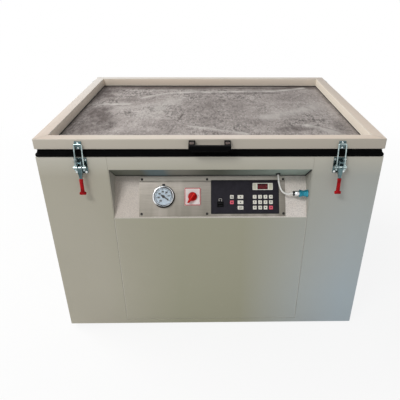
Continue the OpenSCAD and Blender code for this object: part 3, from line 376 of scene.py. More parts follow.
def roof_paint():
    """Painted shade and reflections on the recess roof: dark grey-green, a painted green reflection paler to
    the right, two soft painted reflections on the left, and painted shade darkest at the back.
    """
    n = Nodes("roof_paint")
    x, y = n.axis(0), n.axis(1)
    slow = n.noise(7.0, 1.0, 0.3, stretch=(1.0, 0.3, 0.3))
    # painted shade: the roof's dark grey-green base
    col = n.ramp(slow, [(0.30, (0.115, 0.124, 0.096)), (0.70, (0.155, 0.163, 0.134))])
    # painted reflection: a soft pale patch on the left
    col = n.toned(col, n.off(x, -0.105), [(0.03, 0.9), (0.10, 0.0)], (0.26, 0.255, 0.22))
    # painted reflection: paler green to the right
    col = n.toned(col, x, [(0.03, 0.0), (0.22, 0.80)], (0.38, 0.47, 0.42))
    # painted shade: darkest at the back, where the roof meets the panel
    depth = n.math("SUBTRACT", y, (FRONT + BODY_Y) / 1000.0)
    col = n.toned(col, depth, [(0.050, 0.0), (0.068, 0.55)], (0.035, 0.038, 0.032))
    # painted reflection: a soft blue patch on the left
    col = n.toned(col, n.off(x, -0.165), [(0.02, 0.9), (0.045, 0.0)], (0.13, 0.19, 0.21))
    b = n.peel(1100, 0.00002)
    return n.finish(col, n.rough(8, 0.44, 0.50, 2.0), normal=b, Specular_IOR_Level=0.15)


def blanket_rubber():
    """Dusty rubber sheet: blotches, fine speckle, scratches, pale folds, and dark stains with painted shade
    along the lid tube.
    """
    n = Nodes("blanket_rubber")

    def worn(col, fac, stops, where, tone):
        return n.mix(n.times(n.grey(fac, stops), where), col, tone)

    big = n.noise(6.0, 5.0, 0.6, distort=0.6)
    mid = n.noise(26.0, 6.0, 0.72, distort=0.4)
    col = n.ramp(big, [(0.30, (0.265, 0.233, 0.219)), (0.50, (0.375, 0.336, 0.318)),
                       (0.70, (0.480, 0.436, 0.415))])
    col = n.toned(col, mid, [(0.42, 0.0), (0.70, 0.40)], (0.55, 0.505, 0.48))
    stain_and_painted_light = n.attribute("stain_and_painted_light")
    zone = n.grey(n.noise(6.5, 3.0, 0.5), [(0.42, 0.12), (0.60, 0.85)])
    centre = n.times(n.math("SUBTRACT", n.axis(0), 0.005), 1 / 0.16)
    middle = n.grey(n.math("ABSOLUTE", centre), [(0.40, 0.50), (1.0, 0.0)])
    busy = n.math("MAXIMUM", n.math("MAXIMUM", zone, middle), n.times(stain_and_painted_light, 1.3), clamp=True)
    some = n.math("MAXIMUM", busy, 0.50)
    smear = n.noise(30.0, 6.0, 0.75, stretch=(0.6, 1.2, 1.0), distort=0.8, rotation=(0, 0, 0.12))
    col = worn(col, smear, [(0.46, 0.0), (0.58, 0.60)], busy, (0.150, 0.130, 0.120))
    crack = n.noise(95.0, 5.0, 0.80, stretch=(1.0, 0.38, 1.0), distort=0.5, rotation=(0, 0, -0.35))
    col = worn(col, crack, [(0.505, 0.0), (0.560, 0.88)], busy, (0.060, 0.052, 0.048))
    speck = n.noise(170.0, 5.0, 0.85, stretch=(0.9, 0.45, 1.0))
    col = worn(col, speck, [(0.53, 0.0), (0.585, 0.90)], some, (0.060, 0.054, 0.051))
    light = n.noise(120.0, 5.0, 0.8, stretch=(1.0, 0.45, 1.0), rotation=(0, 0, 0.4))
    col = n.toned(col, light, [(0.54, 0.0), (0.62, 0.42)], (0.68, 0.64, 0.61))
    scratch = n.noise(52.0, 4.0, 0.7, stretch=(6.0, 0.7, 1.0), distort=1.4, rotation=(0, 0, -0.45))
    col = worn(col, scratch, [(0.61, 0.0), (0.67, 0.75)], some, (0.065, 0.062, 0.058))
    # dark stains, together with the painted shade along the lid tube
    col = n.mix(stain_and_painted_light, col, (0.090, 0.072, 0.067))
    col = n.mix(n.attribute("fold"), col, (0.54, 0.51, 0.48))
    col = n.mix(n.attribute("edge_line"), col, (0.004, 0.004, 0.004))
    r = n.grey(mid, [(0.3, 0.55), (0.7, 0.78)])
    b = n.bump(n.noise(150, 6.0, 0.75), 0.0009, 0.8)
    return n.finish(col, r, normal=b, Specular_IOR_Level=0.2)


def brushed_plate():
    """Brushed stainless sheet, brush lines across, with painted light: paler up the slope, a painted shadow
    line under the roof, a paler band along its top edge and pale painted reflection streaks.
    """
    n = Nodes("brushed_plate")
    lines = n.noise(420, 4.0, 0.65, stretch=(0.03, 1.0, 1.0))
    slow = n.noise(7.0, 3.0, 0.55, stretch=(1.8, 0.4, 0.4))
    reflection_streaks = n.noise(16.0, 3.0, 0.5, stretch=(1.0, 0.08, 0.08))
    up = up_slope(n)
    col = n.ramp(slow, [(0.32, (0.180, 0.167, 0.135)), (0.50, (0.240, 0.220, 0.186)),
                        (0.70, (0.325, 0.295, 0.258))])
    # painted light, in order: paler up the slope, the brush lines, a paler top band, a dark painted shadow
    # line, pale painted reflection streaks
    for fac, stops, tone in (
            (up, slope_stops((8, 0.0), (80, 0.30), (108, 0.80), (114, 0.0)), (0.37, 0.340, 0.305)),
            (lines, [(0.3, 0.0), (0.7, 0.40)], (0.15, 0.14, 0.12)),
            (up, slope_stops((113, 0.0), (117, 0.75), (124, 0.75)), (0.46, 0.435, 0.385)),
            (up, slope_stops((111.0, 0.0), (112.6, 0.80), (114.2, 0.0)), (0.10, 0.10, 0.085)),
            (reflection_streaks, [(0.50, 0.0), (0.66, 0.40)], (0.44, 0.405, 0.36))):
        col = n.toned(col, fac, stops, tone)
    r = n.grey(lines, [(0.3, 0.34), (0.7, 0.50)])
    return n.finish(col, r, metal=0.75, normal=n.bump(lines, 0.00003))


def bezel_chrome():
    """Chrome of the gauge's ring with painted reflections: a bright face to the upper left, and a painted black
    reflection in its outer turn and inner edge elsewhere.
    """
    n = Nodes("chrome_bezel")
    gx = n.times(n.math("SUBTRACT", n.axis(0), GAUGE_X / 1000.0), 1 / 0.03475)
    gz = n.times(n.math("SUBTRACT", n.axis(2), 0.5197), 1 / 0.02930)
    r = n.times(n.length(gx, gz), 0.5)
    # painted reflection: the side of the ring that faces the lamp stays bright, the rest takes black
    lit = n.math("ADD", n.math("ADD", n.times(gx, -0.45), n.times(gz, 0.18)), 0.5)
    shade = n.grey(lit, [(0.58, 1.0), (0.72, 0.0)])
    outer = n.times(n.grey(r, [(0.448, 0.0), (0.462, 1.0)]), shade)
    inner = n.times(n.grey(r, [(0.425, 0.8), (0.436, 0.0)]), shade)
    col = n.ramp(n.noise(30, 3.0), [(0.3, (0.84, 0.85, 0.86)), (0.7, (0.93, 0.94, 0.95))])
    col = n.mix(n.math("MAXIMUM", outer, inner, clamp=True), col, (0.012, 0.012, 0.013))
    return n.finish(col, n.rough(120, 0.14, 0.24, 3.0), metal=1.0)


def blue_anodised():
    """Blue anodised aluminium with turned rings, half matt, darker at the sleeve's ends."""
    n = Nodes("blue_anodised")
    rings = n.noise(900, 2.0, 0.6, stretch=(1.0, 0.02, 0.02))
    col = n.ramp(n.noise(60), [(0.3, (0.020, 0.30, 0.42)), (0.7, (0.035, 0.42, 0.56))])
    col = n.toned(col, rings, [(0.42, 0.0), (0.62, 0.55)], (0.008, 0.13, 0.19))
    col = n.toned(col, n.off(n.axis(0), 0.2835), [(0.0115, 0.0), (0.0135, 0.7)], (0.010, 0.15, 0.22))
    return n.finish(col, n.rough(120, 0.24, 0.36), metal=0.45, normal=n.bump(rings, 0.00008))


M = {
    "cabinet": cabinet_paint(),
    "wrinkle": wrinkle_paint(),
    # painted highlight: pale paint on the access panel's bevels, for the light along the sill
    "sill_highlight": paint("sill_highlight_paint", (0.80, 0.775, 0.69), 0.35, 0.04, 0.00005),
    "lid_top": lid_top_paint(),
    "lid_inner": lid_inner_paint(),
    "roof": roof_paint(),
    "cheek": cheek_paint(),
    "lid": paint("lid_paint", (0.575, 0.522, 0.440), 0.40, 0.03, 0.00006),
    "lid_edge": paint("lid_edge_paint", (0.56, 0.515, 0.44), 0.34, 0.05, 0.00004),
    "weld": paint("weld_paint", (0.47, 0.42, 0.345), 0.5, 0.08, 0.0002, 500),
    "black_paint": paint("black_paint", (0.022, 0.022, 0.024), 0.4, 0.1, 0.00006, 700, 0.06),
    "pump": paint("pump_enamel", (0.10, 0.16, 0.19), 0.35, 0.08, 0.00012, 500),
    "gear": paint("gear_case", (0.09, 0.10, 0.12), 0.45, 0.08),
    "gasket": rubber("gasket_rubber", (0.0016, 0.0017, 0.0017), 0.75, 0.04, (0.02, 0.02, 0.02), 0.04),
    "foot": rubber("foot_rubber", (0.016, 0.016, 0.016), 0.7),
    "blanket": blanket_rubber(),
    "plate": brushed_plate(),
    "bezel": bezel_chrome(),
    "blue": blue_anodised(),
    "galvanised": metal("galvanised", (0.56, 0.58, 0.59), 0.42, 0.16, None, 180, 0.00003, (0.42, 0.45, 0.47)),
    # painted reflections: the zinc steel and zinc bow are dark teal with darker patches, and the pale zinc edge
    # paint is a painted highlight on the bevels
    "zinc": metal("zinc_steel", (0.105, 0.165, 0.175), 0.28, 0.35, None, 260, 0.00003, (0.022, 0.042, 0.048)),
    "zinc_edge_highlight": metal("zinc_edge_highlight", (0.80, 0.86, 0.86), 0.22, 0.10, None, 260),
    "zinc_bow": metal("zinc_bow", (0.46, 0.56, 0.56), 0.20, 0.45, None, 220, 0.00003, (0.05, 0.09, 0.095)),
    "bright": metal("bright_steel", (0.72, 0.76, 0.76), 0.22, 0.12),
    "chrome": metal("chrome_trim", (0.80, 0.81, 0.81), 0.10, 0.05, None, 200, 0.000005),
    "alu": metal("bright_aluminium", (0.80, 0.81, 0.82), 0.22, 0.06, (1, 0.05, 1), 500),
    "silver": metal("silver_fitting", (0.72, 0.73, 0.74), 0.25, 0.08),
    "brass": metal("brass_fitting", (0.66, 0.50, 0.26), 0.30, 0.12),
    "dark_screw": metal("dark_screw", (0.035, 0.033, 0.032), 0.35, 0.25),
    "handle_screw": metal("handle_screw", (0.05, 0.05, 0.055), 0.35, 0.2),
    "rocker": plastic("rocker_black", (0.0025, 0.0025, 0.003), 0.16, 0.2, 0.00002, 900, 0.10),
    "rocker_rib": plastic("rocker_rib", (0.05, 0.05, 0.05), 0.2, 0.2, spec=0.4),
    "handle_pad": plastic("handle_pad", (0.115, 0.085, 0.075), 0.55, 0.25, 0.0001, 700, 0.2),
    "handle": plastic("handle_black", (0.0018, 0.0018, 0.0021), 0.42, 0.2, 0.00008, 900, 0.03),
    "dial": plastic("dial_face", (0.68, 0.77, 0.86), 0.35, 0.05, spec=0.2),
    "black": plastic("black_plastic", (0.005, 0.005, 0.0055), 0.34, 0.15, 0.00006, spec=0.15),
    "ink": plastic("black_print", (0.006, 0.006, 0.010), 0.5, spec=0.1),
    "cream": plastic("cream_print", (0.93, 0.90, 0.80), 0.45, 0.05, spec=0.3),
    "switch_plate": plastic("switch_plate", (0.97, 0.88, 0.85), 0.35, 0.03, spec=0.3),
    "red": plastic("red_plastic", (0.55, 0.0045, 0.0035), 0.28, 0.12, spec=0.08),
    "red_bright": plastic("red_highlight", (0.80, 0.030, 0.018), 0.25, 0.10, spec=0.2),
    "grip": plastic("grip_vinyl", (0.40, 0.008, 0.012), 0.40, 0.35, 0.0002, 300, 0.08),
    "red_print": plastic("red_print", (0.60, 0.06, 0.07), 0.4, spec=0.2),
    "pink_key": plastic("pink_key", (0.90, 0.14, 0.20), 0.4, 0.06, spec=0.3),
    "film": plastic("keypad_film", (0.021, 0.019, 0.026), 0.42, 0.15, spec=0.12),
    "film_edge": plastic("keypad_edge", (0.016, 0.016, 0.020), 0.42, 0.10, spec=0.12),
    "display": plastic("display_window", (0.28, 0.014, 0.022), 0.12, 0.2, spec=0.2),
    "display_end": plastic("display_end", (0.70, 0.69, 0.55), 0.4, 0.05, spec=0.3),
    "segment": plastic("display_segment", (0.40, 0.03, 0.035), 0.3),
    "tube": plastic("white_tube", (0.96, 0.95, 0.91), 0.28, 0.03, spec=0.4),
    "hose": plastic("clear_hose", (0.62, 0.66, 0.68), 0.22, 0.06, Transmission_Weight=0.35),
    "ceramic": plastic("lamp_ceramic", (0.80, 0.77, 0.68), 0.6, 0.05, 0.00015, 600),
    "glass": glass("table_glass", (0.86, 0.95, 0.92)),
    "lens": glass("lens_glass", (0.97, 0.99, 1.0), 0.01),
    "lamp": glass("lamp_quartz", (0.95, 0.97, 1.0)),
}


# ---------------------------------------------------------------- making and setting pieces
def new_object(name, mesh, material):
    ob = bpy.data.objects.new(name, mesh)
    bpy.context.scene.collection.objects.link(ob)
    mesh.materials.clear()
    for m in material if isinstance(material, (list, tuple)) else [material]:
        mesh.materials.append(M[m] if isinstance(m, str) else m)
    return ob


def smooth(ob, angle=32):
    ob.data.shade_smooth()
    ob.data.set_sharp_from_angle(angle=radians(angle))


def apply_modifiers(ob):
    bpy.context.view_layer.update()
    deps = bpy.context.evaluated_depsgraph_get()
    me = bpy.data.meshes.new_from_object(ob.evaluated_get(deps), depsgraph=deps)
    old = ob.data
    ob.modifiers.clear()
    ob.data = me
    bpy.data.meshes.remove(old)


def bevel(ob, width_mm, segments=2, edge_slot=-1):
    m = ob.modifiers.new("bevel", "BEVEL")
    m.material = edge_slot
    m.width = width_mm / 1000.0
    m.segments = segments
    m.limit_method = "ANGLE"
    m.angle_limit = radians(30)
    m.use_clamp_overlap = True
    m.miter_outer = "MITER_ARC"
    apply_modifiers(ob)


def even_shading(ob):
    """Keeps the large faces flat in shade beside their bevels."""
    m = ob.modifiers.new("weighted", "WEIGHTED_NORMAL")
    m.keep_sharp = True
    m.weight = 80
    apply_modifiers(ob)


def settle(ob, body, nodes=()):
    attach(ob, body)
    if nodes:
        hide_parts(*nodes)
    return ob


def tidy_mesh(me, near, flat=None):
    """Joins doubled points, dissolves flat edges if asked, and turns the faces outward."""
    bm = bmesh.new()
    bm.from_mesh(me)
    bmesh.ops.remove_doubles(bm, verts=bm.verts, dist=near)
    if flat:
        bmesh.ops.dissolve_limit(bm, angle_limit=radians(flat), verts=bm.verts, edges=bm.edges)
    bmesh.ops.recalc_face_normals(bm, faces=bm.faces)
    bm.to_mesh(me)
    bm.free()


def mesh_of(name, verts, faces, material, matrix=None):
    me = bpy.data.meshes.new(name)
    if matrix is not None:
        verts = [matrix @ Vector(v) for v in verts]
    me.from_pydata([tuple(v) for v in verts], [], faces)
    tidy_mesh(me, 1e-7)
    me.validate()
    return new_object(name, me, material)


def put(name, part, material, at=None, body="cabinet", nodes=(), angle=None, rounding=()):
    """A new piece on its body: made from points and faces, bevelled and shaded if asked."""
    ob = mesh_of(name, *part, material, at)
    if rounding:
        bevel(ob, *rounding)
    if angle:
        smooth(ob, angle)
    return settle(ob, body, nodes)


def dressed(node, material, width=0.8, segments=2, edge=None):
    """A bevelled piece in a CAD node's place, made from its own faces."""
    src = NODES[node].data
    me = bpy.data.meshes.new(node + "_skin")
    me.from_pydata([tuple(v.co) for v in src.vertices], [], [tuple(p.vertices) for p in src.polygons])
    tidy_mesh(me, 2e-6, 0.6)
    ob = new_object(node + "_skin", me, [material, edge] if edge else material)
    bevel(ob, width, segments, 1 if edge else -1)
    smooth(ob)
    even_shading(ob)
    return settle(ob, NODE_BODY[node], [node])


def keep(node, material):
    """A CAD node shown as it is, with a better material."""
    for s in NODES[node].material_slots:
        s.material = M[material]


# ---------------------------------------------------------------- forms
def extrude(poly, depth, z0=0.0):
    """A prism from a polygon in X and Y."""
    n = len(poly)
    verts = [(x, y, z0) for x, y in poly] + [(x, y, z0 + depth) for x, y in poly]
    faces = [tuple(range(n))[::-1], tuple(range(n, 2 * n))]
    faces += [(i, (i + 1) % n, n + (i + 1) % n, n + i) for i in range(n)]
    return verts, faces


CORNERS = ((1, 1, 0), (-1, 1, 90), (-1, -1, 180), (1, -1, 270))


def rounded_poly(w, h, r, steps, cx=0.0, cy=0.0):
    pts = []
    for sx, sy, a0 in CORNERS:
        for i in range(steps + 1):
            a = radians(a0 + 90 * i / steps)
            pts.append((cx + sx * (w / 2 - r) + r * cos(a), cy + sy * (h / 2 - r) + r * sin(a)))
    return pts


def lathe(profile, steps):
    """A turned shape about Z from (radius, height) pairs, closed where the radius is zero."""
    n = len(profile)
    verts, faces = [], []
    for i in range(steps):
        a = 2 * pi * i / steps
        verts += [(r * cos(a), r * sin(a), z) for r, z in profile]
        j = (i + 1) % steps
        faces += [(i * n + k, j * n + k, j * n + k + 1, i * n + k + 1) for k in range(n - 1)]
    return verts, faces


def loft_faces(rows, m, closed=False):
    """Faces between rows of m points, where each row is a ring."""
    faces = []
    for i in range(rows if closed else rows - 1):
        j = (i + 1) % rows
        for k in range(m):
            l = (k + 1) % m
            faces.append((i * m + k, i * m + l, j * m + l, j * m + k))
    return faces


def grid_faces(rows, cols):
    w = cols + 1
    return [(a, a + 1, a + w + 1, a + w) for a in (j * w + i for j in range(rows) for i in range(cols))]


def strip_faces(count):
    """Faces of a band whose points come in pairs."""
    return [(2 * i, 2 * i + 1, 2 * i + 3, 2 * i + 2) for i in range(count)]


def flat_ring(outer, inner, z):
    n = len(outer)
    verts = [(x, y, z) for x, y in outer] + [(x, y, z) for x, y in inner]
    return verts, [(i, (i + 1) % n, n + (i + 1) % n, n + i) for i in range(n)]


def rect(cx, cy, w, h, z):
    return [(cx - w / 2, cy - h / 2, z), (cx + w / 2, cy - h / 2, z),
            (cx + w / 2, cy + h / 2, z), (cx - w / 2, cy + h / 2, z)], [(0, 1, 2, 3)]


def circle(r, steps):
    turns = [2 * pi * i / steps for i in range(steps)]
    return [(r * cos(a), r * sin(a)) for a in turns]


def sweep(path, section, up=Vector((0, 0, 1))):
    """Carries a section (u, v) along an open path and caps its ends."""
    verts, side = [], None
    n, m = len(path), len(section)
    for i, p in enumerate(path):
        d = (path[min(i + 1, n - 1)] - path[max(i - 1, 0)]).normalized()
        u = d.cross(up)
        u.normalize()
        if side is not None and u.dot(side) < 0:
            u.negate()
        side = u
        v = u.cross(d).normalized()
        verts += [p + u * su + v * sv for su, sv in section]
    ends = [tuple(range(m)), tuple(range((n - 1) * m, n * m))[::-1]]
    return verts, loft_faces(n, m) + ends


def merge(parts):
    verts, faces = [], []
    for v, f in parts:
        k = len(verts)
        verts += [tuple(p) for p in v]
        faces += [tuple(i + k for i in face) for face in f]
    return verts, faces


def moved(part, matrix):
    v, f = part
    return [tuple(matrix @ Vector(p)) for p in v], f


def in_frame(part):
    """A part given in mm from the cabinet's middle, in metres in the frame."""
    return [P(*p) for p in part[0]], part[1]


def catmull(points, n):
    pts = [Vector(p) for p in points]
    out = []
    for i in range(len(pts) - 1):
        a, b = pts[max(i - 1, 0)], pts[i]
        c, d = pts[i + 1], pts[min(i + 2, len(pts) - 1)]
        for k in range(n):
            t = k / n
            out.append(0.5 * ((2 * b) + (c - a) * t + (2 * a - 5 * b + 4 * c - d) * t * t
                              + (3 * b - a - 3 * c + d) * t ** 3))
    out.append(pts[-1])
    return out


def flat_text(name, words, size, matrix, bold=0.0):
    """Plain figures printed on a surface of the cabinet."""
    cu = bpy.data.curves.new(name, "FONT")
    cu.body = words
    cu.size = size
    cu.align_x = cu.align_y = "CENTER"
    cu.offset = bold
    cu.resolution_u = 3
    tmp = bpy.data.objects.new(name, cu)
    bpy.context.scene.collection.objects.link(tmp)
    bpy.context.view_layer.update()
    me = bpy.data.meshes.new_from_object(tmp.evaluated_get(bpy.context.evaluated_depsgraph_get()))
    bpy.data.objects.remove(tmp)
    bpy.data.curves.remove(cu)
    me.transform(matrix @ shift(0, 0, 0.05))
    return settle(new_object(name, me, "ink"), "cabinet")


def join(obs, name):
    """Joins printed marks of the cabinet into one piece."""
    parts = [([v.co for v in o.data.vertices], [p.vertices for p in o.data.polygons]) for o in obs]
    verts, faces = merge(parts)
    me = bpy.data.meshes.new(name)
    me.from_pydata(verts, [], faces)
    for o in obs:
        bpy.data.objects.remove(o)
    return settle(new_object(name, me, "ink"), "cabinet")


# ---------------------------------------------------------------- cabinet
for node, width in (("front_frame", 0.7), ("left_side_panel", 0.7), ("right_side_panel", 0.7),
                    ("back_panel", 0.6)):
    dressed(node, "cabinet", width)
# the access panel's bevels take the pale painted highlight
dressed("access_panel", "cabinet", 1.4, 3, edge="sill_highlight")
dressed("base_tray", "galvanised", 0.6)
dressed("top_frame", "black_paint", 0.8)
keep("exposure_glass", "glass")


def recess():
    """Pressed control recess: cabinet paint on its front strips, wrinkle paint inside, and painted shade on the
    roof and the cheeks.
    """
    ob = dressed("recess_housing", "cabinet", 0.8)
    for name in ("wrinkle", "roof", "cheek"):
        ob.data.materials.append(M[name])
    inside_from = (FRONT + BODY_Y) / 1000.0 + 0.0006
    for p in ob.data.polygons:
        if p.center.y > inside_from:
            # faces turned down take the roof's painted shade, faces turned sideways the cheeks' painted shade
            p.material_index = 2 if p.normal.z < -0.4 else (3 if abs(p.normal.x) > 0.6 else 1)


def recess_gap_shade():
    """Dark strips of painted shade in the gaps where the roof's folds meet the cheeks and the panel."""
    parts = []
    thin = 0.0006
    for sx, r in ((-1, thin), (1, 0.0026)):  # the right gap's painted shade shows thicker, so its strip is thicker
        x = sx * (297.3 - 500 * (r - thin))
        a, b = P(x, FRONT + 2.0, 619.6), P(x, FRONT + 68.5, 569.2)
        parts.append(sweep([a, a.lerp(b, 0.3), a.lerp(b, 0.7), b], circle(r, 8), up=Vector((1, 0, 0))))
    a, b = P(-297, FRONT + 69.2, 568.2), P(297, FRONT + 69.2, 568.2)
    parts.append(sweep([a, a.lerp(b, 0.5), b], circle(0.0009, 8)))
    put("recess_gap_shade_strips", merge(parts), "film_edge", angle=32)


recess()
recess_gap_shade()


def frame_ring(name, half_w, half_d, section, material, corner=3.0, steps=4, back=0.0):
    """A closed frame: section points (inset from the outer face, z) carried round a rectangle."""
    verts = []
    for sx, sy, a0 in CORNERS:
        for i in range(steps + 1):
            a = radians(a0 + 90 * i / steps)
            for u, z in section:
                r = max(corner - u, 0.0)
                k = max(corner, u)
                verts.append(P(sx * (half_w - k) + r * cos(a),
                               sy * (half_d - k) + r * sin(a) + back, z))
    ob = mesh_of(name, verts, loft_faces(4 * (steps + 1), len(section), closed=True), material)
    smooth(ob, 28)
    return ob


def lid_tube():
    """The lid's tube frame, with lit and shaded copies of its paint on the upper faces and the inner walls as
    painted light, and its own paint on the rounded edges.
    """
    tube_w = 34
    outline = rounded_poly(tube_w, LID_TOP - LID, 2.4, 4)
    section = [(tube_w / 2 - x, (LID + LID_TOP) / 2 + y) for x, y in outline]
    ring = frame_ring("lid_tube", SIDE, BACK, section, ["lid", "lid_edge", "lid_top", "lid_inner"])
    inner_x, inner_y = (SIDE - 30) / 1000.0, (BACK - 30) / 1000.0
    # upper faces and inner walls take the painted-light copies of the paint
    for face in ring.data.polygons:
        tilt, c = face.normal.z, face.center
        inward = abs(c.x) < inner_x and abs(c.y - BODY_Y / 1000.0) < inner_y
        if tilt > 0.9:
            face.material_index = 2
        elif abs(tilt) > 0.2:
            face.material_index = 1
        else:
            face.material_index = 3 if inward else 0
    settle(ring, "lid", ["lid_frame"])


def mitre_lines():
    """Ground weld line at each mitred corner of the lid tube."""
    parts = []
    half, proud = 0.55, 0.12
    line = [(0.2, LID + 2.5), (0.0, LID + 4), (0.0, LID_TOP - 3), (0.7, LID_TOP - 0.7), (3, LID_TOP),
            (31, LID_TOP), (33.3, LID_TOP - 0.7), (34, LID_TOP - 3), (34, LID + 3)]
    for sx, sy, _ in CORNERS:
        verts = []
        for u, z in line:
            top = z + proud if 3 <= u <= 31 else z
            inset = max(u + (-proud if u < 3 else (proud if u > 31 else 0)), 0.9)
            for side in (-1, 1):
                dx = side * half * (1 if 2 < u < 32 else 0.6)
                verts.append(P(sx * (SIDE - inset) - sx * dx, sy * (BACK - inset) + sy * dx, top))
        parts.append((verts, strip_faces(len(line) - 1)))
    put("lid_weld_lines", merge(parts), "weld", body="lid")


lid_tube()
mitre_lines()
gasket_section = [(u, TOP + h) for u, h in (
    (-1.0, 0), (-3.2, 0.8), (-3.8, 2.4), (-3.6, 5.6), (-2.6, 7.0), (0.2, 8.4), (1.6, 10.0), (2.4, 14.0),
    (3.6, 17.4), (5.2, 19.6), (7.4, 20.7), (12.8, 20.7), (15.2, 19.8), (16.8, 17.6), (17.3, 12.0), (17.2, 5.0),
    (17.0, 0))]
gasket = frame_ring("bulb_gasket", 499, 383.2, gasket_section, "gasket", corner=10.0, steps=9, back=-1.8)
settle(gasket, "cabinet", ["seal_gasket"])

# ---------------------------------------------------------------- blanket
# Raised folds: points, half width and height in mm, paleness
FOLDS = [
    ([(-261, 151), (-220, 186), (-179, 212), (-85, 236), (19, 238), (124, 248), (272, 254), (340, 279),
      (401, 305)], 13.0, 3.0, 0.80),
    ([(-65, -194), (14, -227)], 10.0, 2.2, 0.75),
    ([(-18, -215), (50, -240), (116, -264)], 9.0, 2.2, 0.70),
    ([(318, -186), (356, -222), (395, -261)], 18.0, 2.8, 0.70),
    ([(-447, 59), (-380, 64), (-309, 66)], 12.0, 1.2, 0.70),
    ([(60, 318), (180, 326), (330, 322)], 9.0, 1.2, 0.25),
    ([(-225, -60), (-175, 30), (-140, 130)], 55.0, 0.4, 0.42),
    ([(190, -90), (270, -60), (375, 20)], 45.0, 0.3, 0.42),
    ([(-333, 14), (-260, 40), (-200, 60)], 30.0, 0.3, 0.25),
    ([(-330, 265), (-200, 272), (-60, 262)], 14.0, 1.0, 0.30),
]
# Dark stains: middle x and y, half widths, darkness
STAINS = [
    (-400, -50, 46, 95, 0.95), (-372, -120, 40, 75, 0.88), (-405, -215, 62, 75, 0.74),
    (-338, -180, 34, 55, 0.70), (-440, 215, 62, 105, 0.82), (-395, 290, 50, 60, 0.68),
    (-315, 125, 45, 40, 0.35), (-150, -170, 60, 60, 0.35), (0, 60, 95, 150, 0.34),
    (90, 60, 60, 120, 0.34), (268, -214, 50, 36, 0.66), (150, -140, 70, 40, 0.34),
    (-40, 320, 150, 34, 0.40), (190, 300, 150, 45, 0.45), (300, 160, 90, 60, 0.25),
    (430, -190, 36, 90, 0.45), (-230, -260, 70, 50, 0.25), (-15, -120, 60, 60, 0.35),
]
# Dark streaks: points, half width, darkness
STREAKS = [
    ([(-113, -137), (-98, -59)], 4.0, 0.85), ([(-133, -263), (-115, -158)], 4.0, 0.6),
    ([(-237, 122), (-216, 181)], 3.5, 0.5), ([(-100, 212), (30, 214), (150, 224), (280, 230)], 12.0, 0.50),
    ([(330, -170), (410, -240)], 6.0, 0.5), ([(90, -60), (130, -20)], 3.5, 0.5),
    ([(-440, 40), (-320, 46)], 6.0, 0.4), ([(-20, -236), (110, -284)], 6.0, 0.4),
]
SHEET_X, SHEET_Y = 495.0, 381.0  # half sizes of the sheet
OPEN_X, OPEN_Y = 466.0, 352.0  # half sizes of the opening in the lid tube


def near_line(x, y, pts):
    best = 1e9
    for (x0, y0), (x1, y1) in zip(pts, pts[1:]):
        dx, dy = x1 - x0, y1 - y0
        t = max(0.0, min(1.0, ((x - x0) * dx + (y - y0) * dy) / (dx * dx + dy * dy)))
        best = min(best, hypot(x - x0 - t * dx, y - y0 - t * dy))
    return best


def ripple(*at):
    return noise.noise(Vector(at))


def blanket_point(x, y):
    """Height over the sheet's plane, paleness, darkness of stains and painted shade, and edge line at one point
    of the blanket.
    """
    inside = min(1.0, max(0.0, min(OPEN_X - 2 - abs(x), OPEN_Y - 2 - abs(y)) / 26.0))
    inside = inside * inside * (3 - 2 * inside)
    h = 0.9 * ripple(x / 160, y / 110, 3.1) + 0.35 * ripple(x / 45, y / 40, 7.7)
    pale = 0.0
    for pts, width, height, tone in FOLDS:
        d = near_line(x, y, pts)
        h += height * exp(-(d / width) ** 2)
        pale = max(pale, tone * exp(-(d / (0.8 * width)) ** 2))
    pale *= 0.55 + 0.9 * max(0.0, ripple(x / 30, y / 60, 1.3) + 0.4)
    wobble = 1 + 0.5 * ripple(x / 40, y / 40, 9.0)
    stain_and_shade = 0.0
    for sx, sy, rx, ry, tone in STAINS:
        stain_and_shade = max(stain_and_shade, tone * exp(-abs(hypot((x - sx) / rx, (y - sy) / ry) * wobble) ** 3))
    for pts, width, tone in STREAKS:
        stain_and_shade = max(stain_and_shade, tone * exp(-(near_line(x, y, pts) / width) ** 2))
    stain_and_shade *= 0.92 + 0.35 * ripple(x / 14, y / 22, 4.4)
    wall, back = max(OPEN_X - abs(x), 0), max(OPEN_Y - y, 0)
    # painted shade: darker along the lid tube's side walls and in a band before its rear rail
    stain_and_shade = max(stain_and_shade, 0.55 * exp(-(wall / 14.0) ** 2))
    stain_and_shade = max(stain_and_shade, (0.90 + 0.30 * ripple(x / 60, 0, 2.2)) * exp(-(back / 62.0) ** 4))
    line = max(exp(-(wall / (3.0 if x < 0 else 2.2)) ** 4), exp(-(back / 11.0) ** 6))
    return (0.9 + h) * inside * (1 if h > -0.9 else 0.3), min(0.9, pale) * inside, stain_and_shade, line


